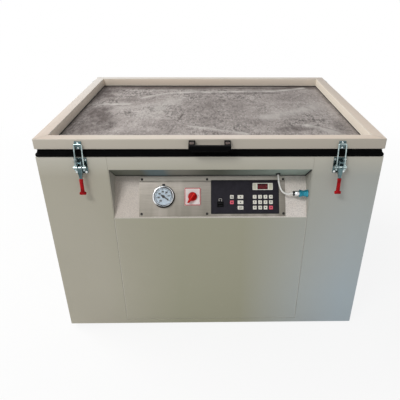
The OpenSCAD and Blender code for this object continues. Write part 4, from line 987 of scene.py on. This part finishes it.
def blanket():
    near = (1.2, 2.4, 3.6, 5.0)  # extra grid lines beside the lid tube
    xs = [-SHEET_X + 3.0 * i for i in range(331)]
    xs = sorted(xs + [side * (OPEN_X - d) for side in (-1, 1) for d in near])
    ys = sorted([-SHEET_Y + 2 * SHEET_Y * j / 190 for j in range(191)] + [OPEN_Y - 1.4 * d for d in near])
    nx, ny = len(xs) - 1, len(ys) - 1
    verts, layers = [], {"fold": [], "stain_and_painted_light": [], "edge_line": []}
    for y in ys:
        for x in xs:
            h, *values = blanket_point(x, y)
            verts.append(P(x, y, LID - 0.25 + h))
            for layer, value in zip(layers.values(), values):
                layer.append(value)
    faces = grid_faces(ny, nx)
    w = nx + 1
    rim = ([i for i in range(nx + 1)] + [j * w + nx for j in range(1, ny + 1)]
           + [ny * w + i for i in range(nx - 1, -1, -1)] + [j * w for j in range(ny - 1, 0, -1)])
    low = [len(verts) + k for k in range(len(rim))]
    verts += [Vector((verts[i].x, verts[i].y, (LID - 2) / 1000)) for i in rim]
    for layer, value in zip(layers.values(), (0.0, 0.5, 1.0)):
        layer += [value] * len(rim)
    for k in range(len(rim)):
        l = (k + 1) % len(rim)
        faces.append((rim[k], low[k], low[l], rim[l]))
    faces.append(tuple(low[::-1]))
    me = bpy.data.meshes.new("rubber_blanket")
    me.from_pydata([tuple(v) for v in verts], [], faces)
    for name, values in layers.items():
        me.attributes.new(name, "FLOAT", "POINT").data.foreach_set("value", values)
    ob = new_object("rubber_blanket", me, "blanket")
    smooth(ob, 40)
    settle(ob, "lid", ["blanket"])


blanket()
dressed("blanket_strips", "alu", 0.4)

# ---------------------------------------------------------------- control plate and what is on it
dressed("control_plate", "plate", 0.25)


def plate_screws():
    """Small dark countersunk cross-head screws in the plate's corners and middle."""
    head = lathe([(0.0, 1.1), (0.9, 1.1), (1.1, 1.9), (2.4, 2.2), (3.5, 1.6), (4.0, 0.1), (4.0, -0.2)], 24)
    parts = [moved(head, PANEL @ shift(x, s, PLATE_T)) for x in (-214.5, -12.0, 225.5) for s in (11.2, 118.7)]
    put("plate_screw_heads", merge(parts), "dark_screw", nodes=["plate_screws"], angle=32)


plate_screws()


def gauge():
    """Case with its bezel, dial with bare ticks and figures, pointer, lens and the clip over it."""
    at = PANEL @ shift(GAUGE_X, DIAL_S, PLATE_T)
    print_z = 2.12

    def dial_angle(part):
        return radians(-35 + 270 * part)

    def arc(r0, r1, steps):
        pts = []
        for k in range(steps + 1):
            a = dial_angle(k / steps)
            pts += [(r * cos(a), r * sin(a), print_z) for r in (r0, r1)]
        return pts, strip_faces(steps)

    case = [lathe(profile, 96) for profile in (
        [(30.0, -32), (30.0, 0), (34.2, 0.0), (34.75, 0.8), (34.75, 5.0), (34.2, 7.2), (33.4, 8.9), (32.2, 9.8),
         (31.0, 10.0), (30.0, 9.9), (29.4, 9.2), (29.3, 8.7)],
        [(29.35, 8.6), (30.5, 8.6), (30.55, 1.2), (27.5, 1.2), (27.5, -30), (0.001, -30)],
        [(0.001, -32), (30.0, -32)])]
    put("gauge_bezel", merge(case), "bezel", at, nodes=["gauge_case"], angle=40)
    put("gauge_connection", extrude(circle(7, 6), 14, -46), "brass", at, angle=32, rounding=(0.5,))
    face = lathe([(0.001, 2.0), (27.0, 2.0), (29.6, 2.2), (30.4, 2.9)], 72)
    put("gauge_face", face, "dial", at, nodes=["gauge_dial"], angle=40)
    ring = [(26.2, 2.6), (26.4, 3.0), (28.6, 6.0), (29.0, 6.3), (29.3, 6.3), (29.3, 3.1), (26.2, 2.6)]
    put("gauge_inner_ring", lathe(ring, 96), "bezel", at, angle=40)
    packing = lathe([(29.3, 6.32), (28.5, 6.5), (28.5, 6.9), (29.3, 6.9)], 96)
    put("gauge_lens_packing", packing, "ink", at)
    marks = []
    outer = 24.4
    for k in range(61):
        long, w = (4.2, 0.55) if k % 10 == 0 else ((3.0, 0.36) if k % 5 == 0 else (2.0, 0.22))
        c, s = cos(dial_angle(k / 60)), sin(dial_angle(k / 60))
        marks.append(([(r * c + e * s, r * s - e * c, print_z) for r, e in (
            (outer - long, w), (outer, w), (outer, -w), (outer - long, -w))], [(0, 1, 2, 3)]))
    marks.append(arc(24.3, 24.8, 54))
    put("gauge_scale", merge(marks), "ink", at)
    put("gauge_inner_scale", arc(11.0, 11.3, 60), "ink", at)
    digits = []
    for k in range(7):
        a = dial_angle(k / 6)
        place = at @ shift(15.6 * cos(a), 15.6 * sin(a), 2.05)
        digits.append(flat_text("gauge_digit_%d" % k, str(k * 10), 7.2, place, bold=0.50))
    join(digits, "gauge_digits")
    pointer = [(-9, -1.2), (-8.0, -2.4), (-5, -2.8), (-3, -2.8), (0, -3.6), (4, -2.0), (20.5, -0.8), (22.0, 0),
               (20.5, 0.8), (4, 2.0), (0, 3.6), (-3, 2.8), (-5, 2.8), (-8.0, 2.4), (-9, 1.2)]
    needle = moved(extrude(pointer, 0.5, 3.75), Matrix.Rotation(dial_angle(0), 4, "Z"))
    hub = [(0.001, 5.0), (2.4, 5.0), (3.8, 4.7), (4.4, 4.2), (4.4, 3.4), (1.2, 3.4), (1.2, -6), (0.001, -6)]
    needle = merge([needle, lathe(hub, 32)])
    put("gauge_pointer", needle, "ink", at, "needle", ["gauge_needle"], 32)
    keep("gauge_lens", "lens")
    clip = [extrude(rounded_poly(9, 5, 1.4, 4, 0, 37.6), 0.7)]
    screw = lathe([(0.001, 1.2), (1.2, 1.1), (1.5, 0.5), (1.5, 0)], 20)
    clip += [moved(screw, shift(dx, 38.0, 0)) for dx in (-2.2, 2.2)]
    put("gauge_clip", merge(clip), "ink", at, angle=32)


gauge()


def switch():
    at = PANEL @ shift(SWITCH_X, DIAL_S, PLATE_T)
    dressed("rotary_switch_body", "switch_plate", 1.0, 3)
    border = flat_ring(rounded_poly(49.0, 54.0, 2.2, 6), rounded_poly(44.6, 49.6, 1.4, 6), 3.12)
    put("switch_red_border", border, "red_print", at)
    for words, x, y in (("0", -17.5, -20.5), ("1", 17.5, -20.5), ("2", 17.5, 4.0)):
        flat_text("switch_mark_" + words, words, 5.5, at @ shift(x, y, 3.05))
    disc = lathe([(0.001, 10.3), (10.5, 10.3), (12.6, 9.6), (13.6, 8.0), (14.0, 5.8), (14.0, 3.9), (13.6, 3.3),
                  (4.0, 3.3), (4.0, -24), (0.001, -24)], 64)
    bar = [(-4.4, -11.2), (-3.4, -12.2), (3.4, -12.2), (4.4, -11.2), (4.5, 4), (4.3, 12), (2.6, 23.2),
           (1.6, 24.4), (-1.6, 24.4), (-2.6, 23.2), (-4.3, 12), (-4.5, 4)]
    line = [(-1.5, -10.5), (1.5, -10.5), (1.5, 6), (1.0, 22.5), (-1.0, 22.5), (-1.5, 6)]
    pointing = turn(146, "Z")
    put("switch_knob_disc", disc, "red", at, "knob", ["switch_knob"], 40)
    bar = moved(extrude(bar, 11.6, 9.6), pointing)
    put("switch_knob_bar", bar, "red", at, "knob", angle=40, rounding=(1.1, 3))
    line = moved(extrude(line, 0.15, 21.15), pointing)
    put("switch_knob_line", line, "red_bright", at, "knob")


switch()


def keypad():
    """Membrane keypad: film, raised keys with plain signs, display window with its frame."""
    at = PANEL @ shift(0, 0, PLATE_T)
    w, h, s0 = 212.0, 105.5, 10.5
    base = extrude(rounded_poly(w, h, 2.0, 4, w / 2, s0 + h / 2), 0.85)
    put("keypad_base", base, "film_edge", at, nodes=["keypad_overlay"])
    film = extrude(rounded_poly(w - 7, h - 7, 1.5, 4, w / 2, s0 + h / 2), 0.16, 0.84)
    put("keypad_film", film, "film", at)
    key, wide, pitch, steps_x = 11.6, 17.8, 16.8, 65.0
    xs = [136.1 + pitch * c for c in range(4)]
    rows = [29.7 + pitch * r for r in range(3)]
    arrow_x = 91.7

    def key_caps(name, places, kw, material):
        parts = []
        for x, s in places:
            verts = []
            for inset, z in ((0.0, 0.98), (0.1, 1.35), (0.5, 1.62), (1.2, 1.74)):
                poly = rounded_poly(kw - 2 * inset, key - 2 * inset, max(0.5, 1.5 - inset), 4, x, s)
                verts += [(px, py, z) for px, py in poly]
            n = len(verts) // 4
            parts.append((verts, loft_faces(4, n) + [tuple(range(3 * n, 4 * n))]))
        put(name, merge(parts), material, at, angle=40)

    red = [(xs[3], rows[0]), (steps_x, rows[1])]
    cream = [(x, s) for x in xs for s in rows if (x, s) not in red] + [(steps_x, rows[2])]
    key_caps("key_caps_cream", cream, key, "cream")
    key_caps("key_caps_wide", [(arrow_x, s) for s in rows], wide, "cream")
    key_caps("key_caps_red", red, key, "pink_key")

    glyphs = {"1": (0, 2), "2": (1, 2), "3": (2, 2), "4": (3, 2), "5": (0, 1), "6": (1, 1), "7": (2, 1),
              "8": (3, 1), "9": (0, 0), "0": (1, 0)}
    marks = []
    for words, (c, r) in glyphs.items():
        place = at @ shift(xs[c], rows[r], 1.72)
        marks.append(flat_text("key_digit_" + words, words, 7.5, place, bold=0.12))
    z = 1.79
    signs = []
    for x, s, kind in ((xs[2], rows[0], "right"), (xs[3], rows[0], "dot"), (steps_x, rows[2], "bars"),
                       (steps_x, rows[1], "dot"), (arrow_x, rows[2], "up"), (arrow_x, rows[1], "down"),
                       (arrow_x, rows[0], "long_bars")):
        if kind == "dot":
            signs.append(([(x + dx, s + ds, z) for dx, ds in circle(2.0, 16)], [tuple(range(16))]))
        elif kind in ("bars", "long_bars"):
            signs += [rect(x, s + d, 6.8 if kind == "bars" else 11.2, 1.4, z) for d in (-1.8, 1.8)]
        else:
            arrow = {"right": ((-2.4, -2.2), (2.6, 0), (-2.4, 2.2)), "up": ((-3, -1.6), (3, -1.6), (0, 2.6)),
                     "down": ((-3, 1.6), (0, -2.6), (3, 1.6))}[kind]
            signs.append(([(x + dx, s + ds, z) for dx, ds in arrow], [(0, 1, 2)]))
    marks.append(mesh_of("key_signs", *merge(signs), "ink", at))
    join(marks, "key_marks")

    hole = rounded_poly(DISPLAY_W, DISPLAY_H, 0.8, 3, DISPLAY_X, DISPLAY_S)
    outer = rounded_poly(63.0, 21.6, 1.2, 3, DISPLAY_X, DISPLAY_S)
    n = len(hole)
    verts, faces = flat_ring(outer, hole, 1.45)
    verts += [(x, y, 0.9) for x, y in outer] + [(x, y, -1.0) for x, y in hole]
    faces += [(i, 2 * n + i, 2 * n + (i + 1) % n, (i + 1) % n) for i in range(n)]
    faces += [(n + i, n + (i + 1) % n, 3 * n + (i + 1) % n, 3 * n + i) for i in range(n)]
    put("display_frame", (verts, faces), "cream", at)
    ends = [rounded_poly(10.5, 16.5, 0.8, 3, DISPLAY_X + dx, DISPLAY_S) for dx in (-24.2, 24.2)]
    ends = merge([extrude(end, 0.12, 1.4) for end in ends])
    put("display_end_fields", ends, "display_end", at)
    keep("display_window", "display")
    bars = []
    for d in range(4):
        cx = DISPLAY_X - 10.8 + 7.2 * d
        bars += [rect(cx + a, DISPLAY_S + b, 3.0, 0.8, 1.04) for a, b in ((0, 4.6), (0, 0), (0, -4.6))]
        bars += [rect(cx + a, DISPLAY_S + b, 0.8, 3.4, 1.04)
                 for a, b in ((-2.2, 2.3), (2.2, 2.3), (-2.2, -2.3), (2.2, -2.3))]
    put("display_segments", merge(bars), "segment", at)


keypad()


def rocker():
    """Rocker switch with ribs on its paddle, and the printed arch over it."""
    at = PANEL @ shift(ROCKER_X, ROCKER_S, PLATE_T)
    dressed("rocker_frame", "rocker", 0.6, 3)
    dressed("rocker_paddle", "rocker", 0.4)
    z = 1.06
    arch = [(3.6, 9.8, z), (4.6, 9.8, z)]
    for cx, start in ((2.2, 0), (-2.2, 90)):
        for i in range(7):
            a = radians(start + 15 * i)
            arch += [(cx + 1.6 * cos(a), 15.6 + 1.6 * sin(a), z),
                     (cx + 2.4 * cos(a), 15.6 + 2.3 * sin(a), z)]
    arch += [(-3.6, 9.8, z), (-4.6, 9.8, z)]
    put("rocker_arc_mark", (arch, strip_faces(len(arch) // 2 - 1)), "cream", at)
    ribs = []
    tilt = shift(0, 0, 1.4) @ turn(-10, "X")
    for k in (-4.4, -3.2, 3.2, 4.4):
        z = 2.4 + (5.2 - 2.4) * abs(k) / 7.0
        ribs.append(moved(([(-6.6, k - 0.22, z), (6.6, k - 0.22, z), (6.6, k + 0.22, z), (-6.6, k + 0.22, z),
                            (-6.6, k, z + 0.35), (6.6, k, z + 0.35)],
                           [(0, 1, 5, 4), (2, 3, 4, 5), (0, 4, 3), (1, 2, 5)]), tilt))
    put("rocker_ribs", merge(ribs), "rocker_rib", at, "rocker")


rocker()


def valve():
    """Hand slide valve: waisted blue sleeve with turned grooves, and the ring that holds the tube."""
    at = PANEL @ shift(CHEEK_X, VALVE_S, VALVE_N) @ turn(-90, "Y")
    keep("valve_body", "silver")
    prof = [(7.05, 0.9), (10.6, 0.9), (11.2, 1.3), (11.5, 2.0)]
    for i in range(21):
        t = i / 20
        r = 11.5 - 2.4 * sin(pi * t) ** 2
        z = 2.0 + 24.8 * t
        prof.append((r, z))
        if 2 < i < 18 and i % 2:
            prof += [(r - 0.35, z + 0.25), (r - 0.35, z + 0.65)]
    prof += [(11.2, 27.3), (10.6, 27.9), (7.05, 27.9)]
    put("sleeve_grip", lathe(prof, 56), "blue", at, "sleeve", ["valve_sleeve"], 30)
    ring = [(2.7, 47.9), (5.6, 47.9), (6.7, 47.2), (7.1, 45.8), (7.1, 42.0), (6.9, 41.1), (6.5, 40.8)]
    put("push_in_ring", lathe(ring, 40), "black", at, angle=40)


valve()


def tubes():
    """Air tube from the valve through the roof to the front port, and the pump's hose to the rear port."""
    tip = Vector((VALVE_TIP_X, FRONT + VALVE_S * cos(SLOPE) - VALVE_N * sin(SLOPE),
                  SILL + VALVE_S * sin(SLOPE) + VALVE_N * cos(SLOPE)))
    hx, hy, hz = ROOF_HOLE
    port_y = FRONT + SHEET + PORT_IN
    route = [tip] + [tip + Vector(d) for d in (
        (-6, 0, -0.5), (-13, 0, -2.6), (-22, 1.3, -1), (-31.6, 5.3, 5), (-37.7, 11.3, 16.1),
        (-40.7, 19.3, 27.2))]
    route += [Vector(p) for p in (
        (hx + 1.5, hy - 3, hz - 17), (hx, hy, hz - 5), (hx, hy, hz + 6), (hx, hy - 3, hz + 17),
        (hx, port_y, PORT_Z - 20), (hx, port_y, PORT_Z - 9), (hx, port_y, PORT_Z))]
    pts = [P(*p) for p in [route[0]] + catmull(route[1:-1], 8) + [route[-1]]]
    tube = sweep(pts, circle(0.0025, 16), up=Vector((0.2, 1, 0.1)))
    put("vent_air_tube", tube, "tube", nodes=["vent_tube"], angle=60)
    start, end = Vector(PUMP_OUTLET), Vector((REAR_PORT_X, BACK - SHEET - PORT_IN, PORT_Z))
    route = [start + Vector(d) for d in ((0, 0, 0), (0, 0, 20), (2, 12, 80), (10, 40, 160), (22, 74, 250))]
    route += [end - Vector(d) for d in ((0, 4, 90), (0, 0, 24), (0, 0, 0))]
    hose = sweep([P(*p) for p in catmull(route, 10)], circle(0.007, 18), up=Vector((1, 0.1, 0)))
    put("vacuum_line", hose, "hose", nodes=["vacuum_hose"], angle=60)
    grommet = lathe([(2.8, -2.4), (6.2, -2.4), (7.4, -1.6), (7.4, 0.2), (6.2, 0.8), (2.8, 0.8)], 32)
    roof = Matrix.Rotation(atan2(ROOF_H, RECESS_D), 4, "X").inverted()
    grommet = in_frame(moved(grommet, shift(hx, hy, hz - 2) @ roof))
    put("tube_grommet", grommet, "black", angle=40)


tubes()

# ---------------------------------------------------------------- latches, handle
# the latch parts' bevels take the pale painted highlight
for node in ("latch_bases", "catch_plates"):
    dressed(node, "zinc", 0.7, edge="zinc_edge_highlight")
for node in ("latch_bolts", "catch_screws"):
    dressed(node, "bright", 0.25)
for side in ("left", "right"):
    dressed(side + "_latch_lever", "zinc", 0.7, edge="zinc_edge_highlight")
    keep(side + "_latch_bow", "zinc_bow")
dressed("lid_handle", "handle", 1.2, 3)


def grips():
    """Red T grips: a flattened sleeve over the lever's blade and a waisted cross bar."""
    reach = hypot(LEVER_OUT, LEVER_L)
    lean = atan2(LEVER_OUT, LEVER_L) - asin(BLADE_BACK / reach)
    length = sqrt(reach ** 2 - BLADE_BACK ** 2)
    sleeve_from, rows, steps, square = 46.2, 15, 16, 0.62
    verts = []
    for i in range(rows):
        t = i / (rows - 1)
        z = -sleeve_from - (length - sleeve_from) * t
        w = 5.5 - 0.5 * sin(pi * min(1, t * 1.15))
        d = 4.3 - 0.5 * sin(pi * min(1, t * 1.1))
        if i == 0:
            w, d = w - 0.7, d - 0.7
        for k in range(steps):
            a = 2 * pi * k / steps
            ca, sa = cos(a), sin(a)
            verts.append((w * copysign(abs(ca) ** square, ca),
                          -BLADE_BACK + d * copysign(abs(sa) ** square, sa), z))
    ends = [tuple(range(steps)), tuple(range((rows - 1) * steps, rows * steps))[::-1]]
    half = [(2.2, 9.5), (3.9, 8.9), (4.7, 7.5), (4.9, 5.2), (4.7, 2.2)]
    profile = [(0.001, -9.5)] + [(r, -z) for r, z in half] + [(4.6, 0)] + half[::-1] + [(0.001, 9.5)]
    bar = moved(lathe(profile, 28), shift(0, -BLADE_BACK, -length) @ turn(90, "Y"))
    grip = merge([(verts, ends + loft_faces(rows, steps)), bar])
    for side, x in (("left", -LATCH_X), ("right", LATCH_X)):
        pin = shift(*P(x, FRONT - PIN_OUT, LID_TOP - PIN_DROP)) @ MM
        at = pin @ Matrix.Rotation(-lean, 4, "X")
        put(side + "_red_grip", grip, "grip", at, side + "_lever", [side + "_latch_grip"], 50)


grips()


def handle_details():
    """Fixing screws of the handle, and pale pads on its legs that paint the sheen of their sloped faces."""
    r = 2.2
    screw = lathe([(0.001, 0.7), (r * 0.5, 0.7), (r, 0.5), (r, -0.2)], 24)
    pad = extrude(rounded_poly(12.5, 14.0, 3.4, 5, 0, -1.5), 0.6, -0.3)
    places = [shift(x, HANDLE_Y, HANDLE_Z + 10.9) @ turn(7, "X") for x in (-53, 47)]
    pads = in_frame(merge([moved(pad, place) for place in places]))
    # painted reflection: pale brown pads for the sheen on the legs' sloped faces
    put("handle_leg_sheen_pads", pads, "handle_pad", body="lid", angle=32, rounding=(0.2,))
    screws = in_frame(merge([moved(screw, place) for place in places]))
    put("handle_screws", screws, "handle_screw", body="lid", angle=32)


handle_details()


# ---------------------------------------------------------------- hinges, struts, back and feet
def ease_studs(ob):
    """Takes the fillets and 0.15 mm off the struts' lower studs, which run closely in their eyes."""
    eased, near, far, length = 0.00485, 0.00455, 0.0055, 0.0120
    for side in (-1, 1):
        mine = [v.co for v in ob.data.vertices if v.co.x * side > 0]
        end = max(c.x * side for c in mine)
        tip = [c for c in mine if c.x * side > end - 0.0001]
        y = sum(c.y for c in tip) / len(tip)
        z = sum(c.z for c in tip) / len(tip)
        for c in mine:
            r = hypot(c.y - y, c.z - z)
            if near < r < far and c.x * side > end - length:
                c.y = y + (c.y - y) * eased / r
                c.z = z + (c.z - z) * eased / r


for node in ("hinge_cabinet_leaves", "hinge_lid_leaves", "strut_lower_brackets", "strut_upper_brackets"):
    made = dressed(node, "zinc", 0.4)
    if node == "strut_lower_brackets":
        ease_studs(made)
for side in ("left", "right"):
    keep(side + "_strut_cylinder", "black_paint")
    keep(side + "_strut_rod", "chrome")


def panel_screws():
    """Pan heads on the panels, hinges and brackets, as (x, y, z), facing and radius."""
    def heads(places):
        h = 2.2
        parts = []
        for at, axis, r in places:
            head = lathe([(0.001, h - 0.9), (0.5, h - 0.9), (0.8, h), (r * 0.55, h), (r * 0.85, h * 0.72),
                          (r, h * 0.25), (r, -0.3)], 22)
            facing = Vector(axis).to_track_quat("Z", "Y").to_matrix().to_4x4()
            parts.append(in_frame(moved(head, shift(*at) @ facing)))
        return merge(parts)

    rear = (0, 1, 0)
    body, lid = [], []
    for z in (60, 220, 400, 600):
        body += [((sx * SIDE, y, z), (sx, 0, 0), 3.6) for y in (-360, 360) for sx in (-1, 1)]
        body += [((sx * 480, BACK, z), rear, 3.6) for sx in (-1, 1)]
    body += [((x, BACK, z), rear, 3.6) for x in (-320, 0, 250) for z in (40, 625)]
    for side in (-1, 1):
        hinge_y, face = BACK + 2.5, (side, 0, 0)
        body += [((side * HINGE_X + dx, hinge_y, z), rear, 3.2) for dx in (-33, 33) for z in (655, 664)]
        body += [((side * STRUT_X, 350 + dy, 520 + dz), face, 2.4) for dz in (-13, 13) for dy in (-13, 13)]
        lid += [((side * HINGE_X + dx, hinge_y, 703), rear, 3.0) for dx in (-33, 0, 33)]
        lid += [((side * STRUT_X, 320 + dy, 709), face, 2.2) for dy in (-11, 11)]
    put("panel_screw_heads", heads(body), "bright", angle=32)
    put("lid_screw_heads", heads(lid), "bright", body="lid", angle=32)


panel_screws()


def louvres():
    """Pressed hoods over the cooling slots of the back panel."""
    nx, nz, first_x, first_z = 14, 6, 180, 256
    slot_w, pitch_x, pitch_z, depth, over, hood_h = 90, 110, 16, 4.2, 8.5, 9.5
    parts = []
    for column in range(2):
        for row in range(8):
            verts = []
            for i in range(nx + 1):
                t = i / nx
                cap = sin(pi * t) ** 0.35 if 0 < i < nx else 0.0
                for j in range(nz + 1):
                    u = j / nz
                    verts.append(P(first_x + column * pitch_x + slot_w * t,
                                   BACK + 0.15 + depth * sin(0.5 * pi * u) * cap,
                                   first_z + row * pitch_z + over - hood_h * u))
            parts.append((verts, grid_faces(nx, nz)))
    ob = mesh_of("louvre_hoods", *merge(parts), "cabinet")
    m = ob.modifiers.new("thick", "SOLIDIFY")
    m.thickness = 0.0008
    m.offset = -1
    apply_modifiers(ob)
    smooth(ob, 50)
    settle(ob, "cabinet")


louvres()

for node, material, width in (
        ("levelling_feet", "foot", 0.5), ("fan_frame", "black", 0.6), ("fan_rotor", "black", 0.4),
        ("cable_gland", "black", 0.4), ("lamp_cradle", "galvanised", 0.5), ("lamp_holders", "ceramic", 1.0),
        ("control_gear", "gear", 1.0), ("vacuum_pump", "pump", 1.2), ("vacuum_ports", "brass", 0.3)):
    dressed(node, material, width)
for node, material in (("fan_guard", "chrome"), ("lamp_reflector", "alu"), ("lamp_tube", "lamp")):
    keep(node, material)


# ---------------------------------------------------------------- floor and light
def seen_white(tree, surface, factor, white, output):
    """Shows plain white to the camera and in mirrors and glass, mixed over a surface or sky."""
    path = tree.nodes.new("ShaderNodeLightPath")
    total = path.outputs["Is Camera Ray"]
    for name in ("Is Glossy Ray", "Is Transmission Ray"):
        add = tree.nodes.new("ShaderNodeMath")
        add.operation = "MAXIMUM"
        tree.links.new(total, add.inputs[0])
        tree.links.new(path.outputs[name], add.inputs[1])
        total = add.outputs[0]
    scale = tree.nodes.new("ShaderNodeMath")
    scale.operation = "MULTIPLY"
    tree.links.new(total, scale.inputs[0])
    if factor is None:
        scale.inputs[1].default_value = 1.0
    else:
        tree.links.new(factor, scale.inputs[1])
    white.inputs["Color"].default_value = (1, 1, 1, 1)
    white.inputs["Strength"].default_value = 1.0
    mixer = tree.nodes.new("ShaderNodeMixShader")
    tree.links.new(scale.outputs[0], mixer.inputs[0])
    tree.links.new(surface, mixer.inputs[1])
    tree.links.new(white.outputs[0], mixer.inputs[2])
    tree.links.new(mixer.outputs[0], output.inputs["Surface"])


fm = Nodes("floor_paper")
fm.finish(fm.ramp(fm.noise(3.0, 2.0), [(0.3, (0.71, 0.71, 0.71)), (0.7, (0.73, 0.73, 0.73))]), 0.9)
fade = fm.grey(fm.times(fm.length(fm.axis(0), fm.axis(1)), 0.25), [(0.20, 0.88), (0.60, 1.0)])
seen_white(fm.t, fm.bsdf.outputs[0], fade, fm.new("ShaderNodeEmission"), fm.t.nodes["Material Output"])
me = bpy.data.meshes.new("floor")
me.from_pydata([(-40, -40, 0), (40, -40, 0), (40, 40, 0), (-40, 40, 0)], [], [(0, 1, 2, 3)])
me.materials.append(fm.mat)
floor = bpy.data.objects.new("floor", me)
bpy.context.scene.collection.objects.link(floor)

scene = bpy.context.scene
scene.view_settings.view_transform = "Standard"
world = bpy.data.worlds.new("studio")
scene.world = world
world.use_nodes = True
wt = world.node_tree
wt.nodes.clear()
sky = wt.nodes.new("ShaderNodeBackground")
sky.inputs["Color"].default_value = (0.98, 0.99, 1.0, 1)
sky.inputs["Strength"].default_value = 0.36
seen_white(wt, sky.outputs[0], None, wt.nodes.new("ShaderNodeBackground"),
           wt.nodes.new("ShaderNodeOutputWorld"))


def area(name, location, target, size, power, color=(1, 1, 1)):
    data = bpy.data.lights.new(name, "AREA")
    data.shape = "RECTANGLE"
    data.size, data.size_y = size
    data.energy = power
    data.color = color
    ob = bpy.data.objects.new(name, data)
    scene.collection.objects.link(ob)
    ob.location = location
    ob.rotation_mode = "QUATERNION"
    ob.rotation_quaternion = (Vector(target) - Vector(location)).to_track_quat("-Z", "Y")


area("side", (-2.5, 0.5, 2.4), (0, 0, 0.65), (1.6, 1.6), 76, (1.0, 0.99, 0.97))
area("key", (-1.3, -2.2, 2.9), (0, -0.1, 0.55), (1.0, 0.7), 37)
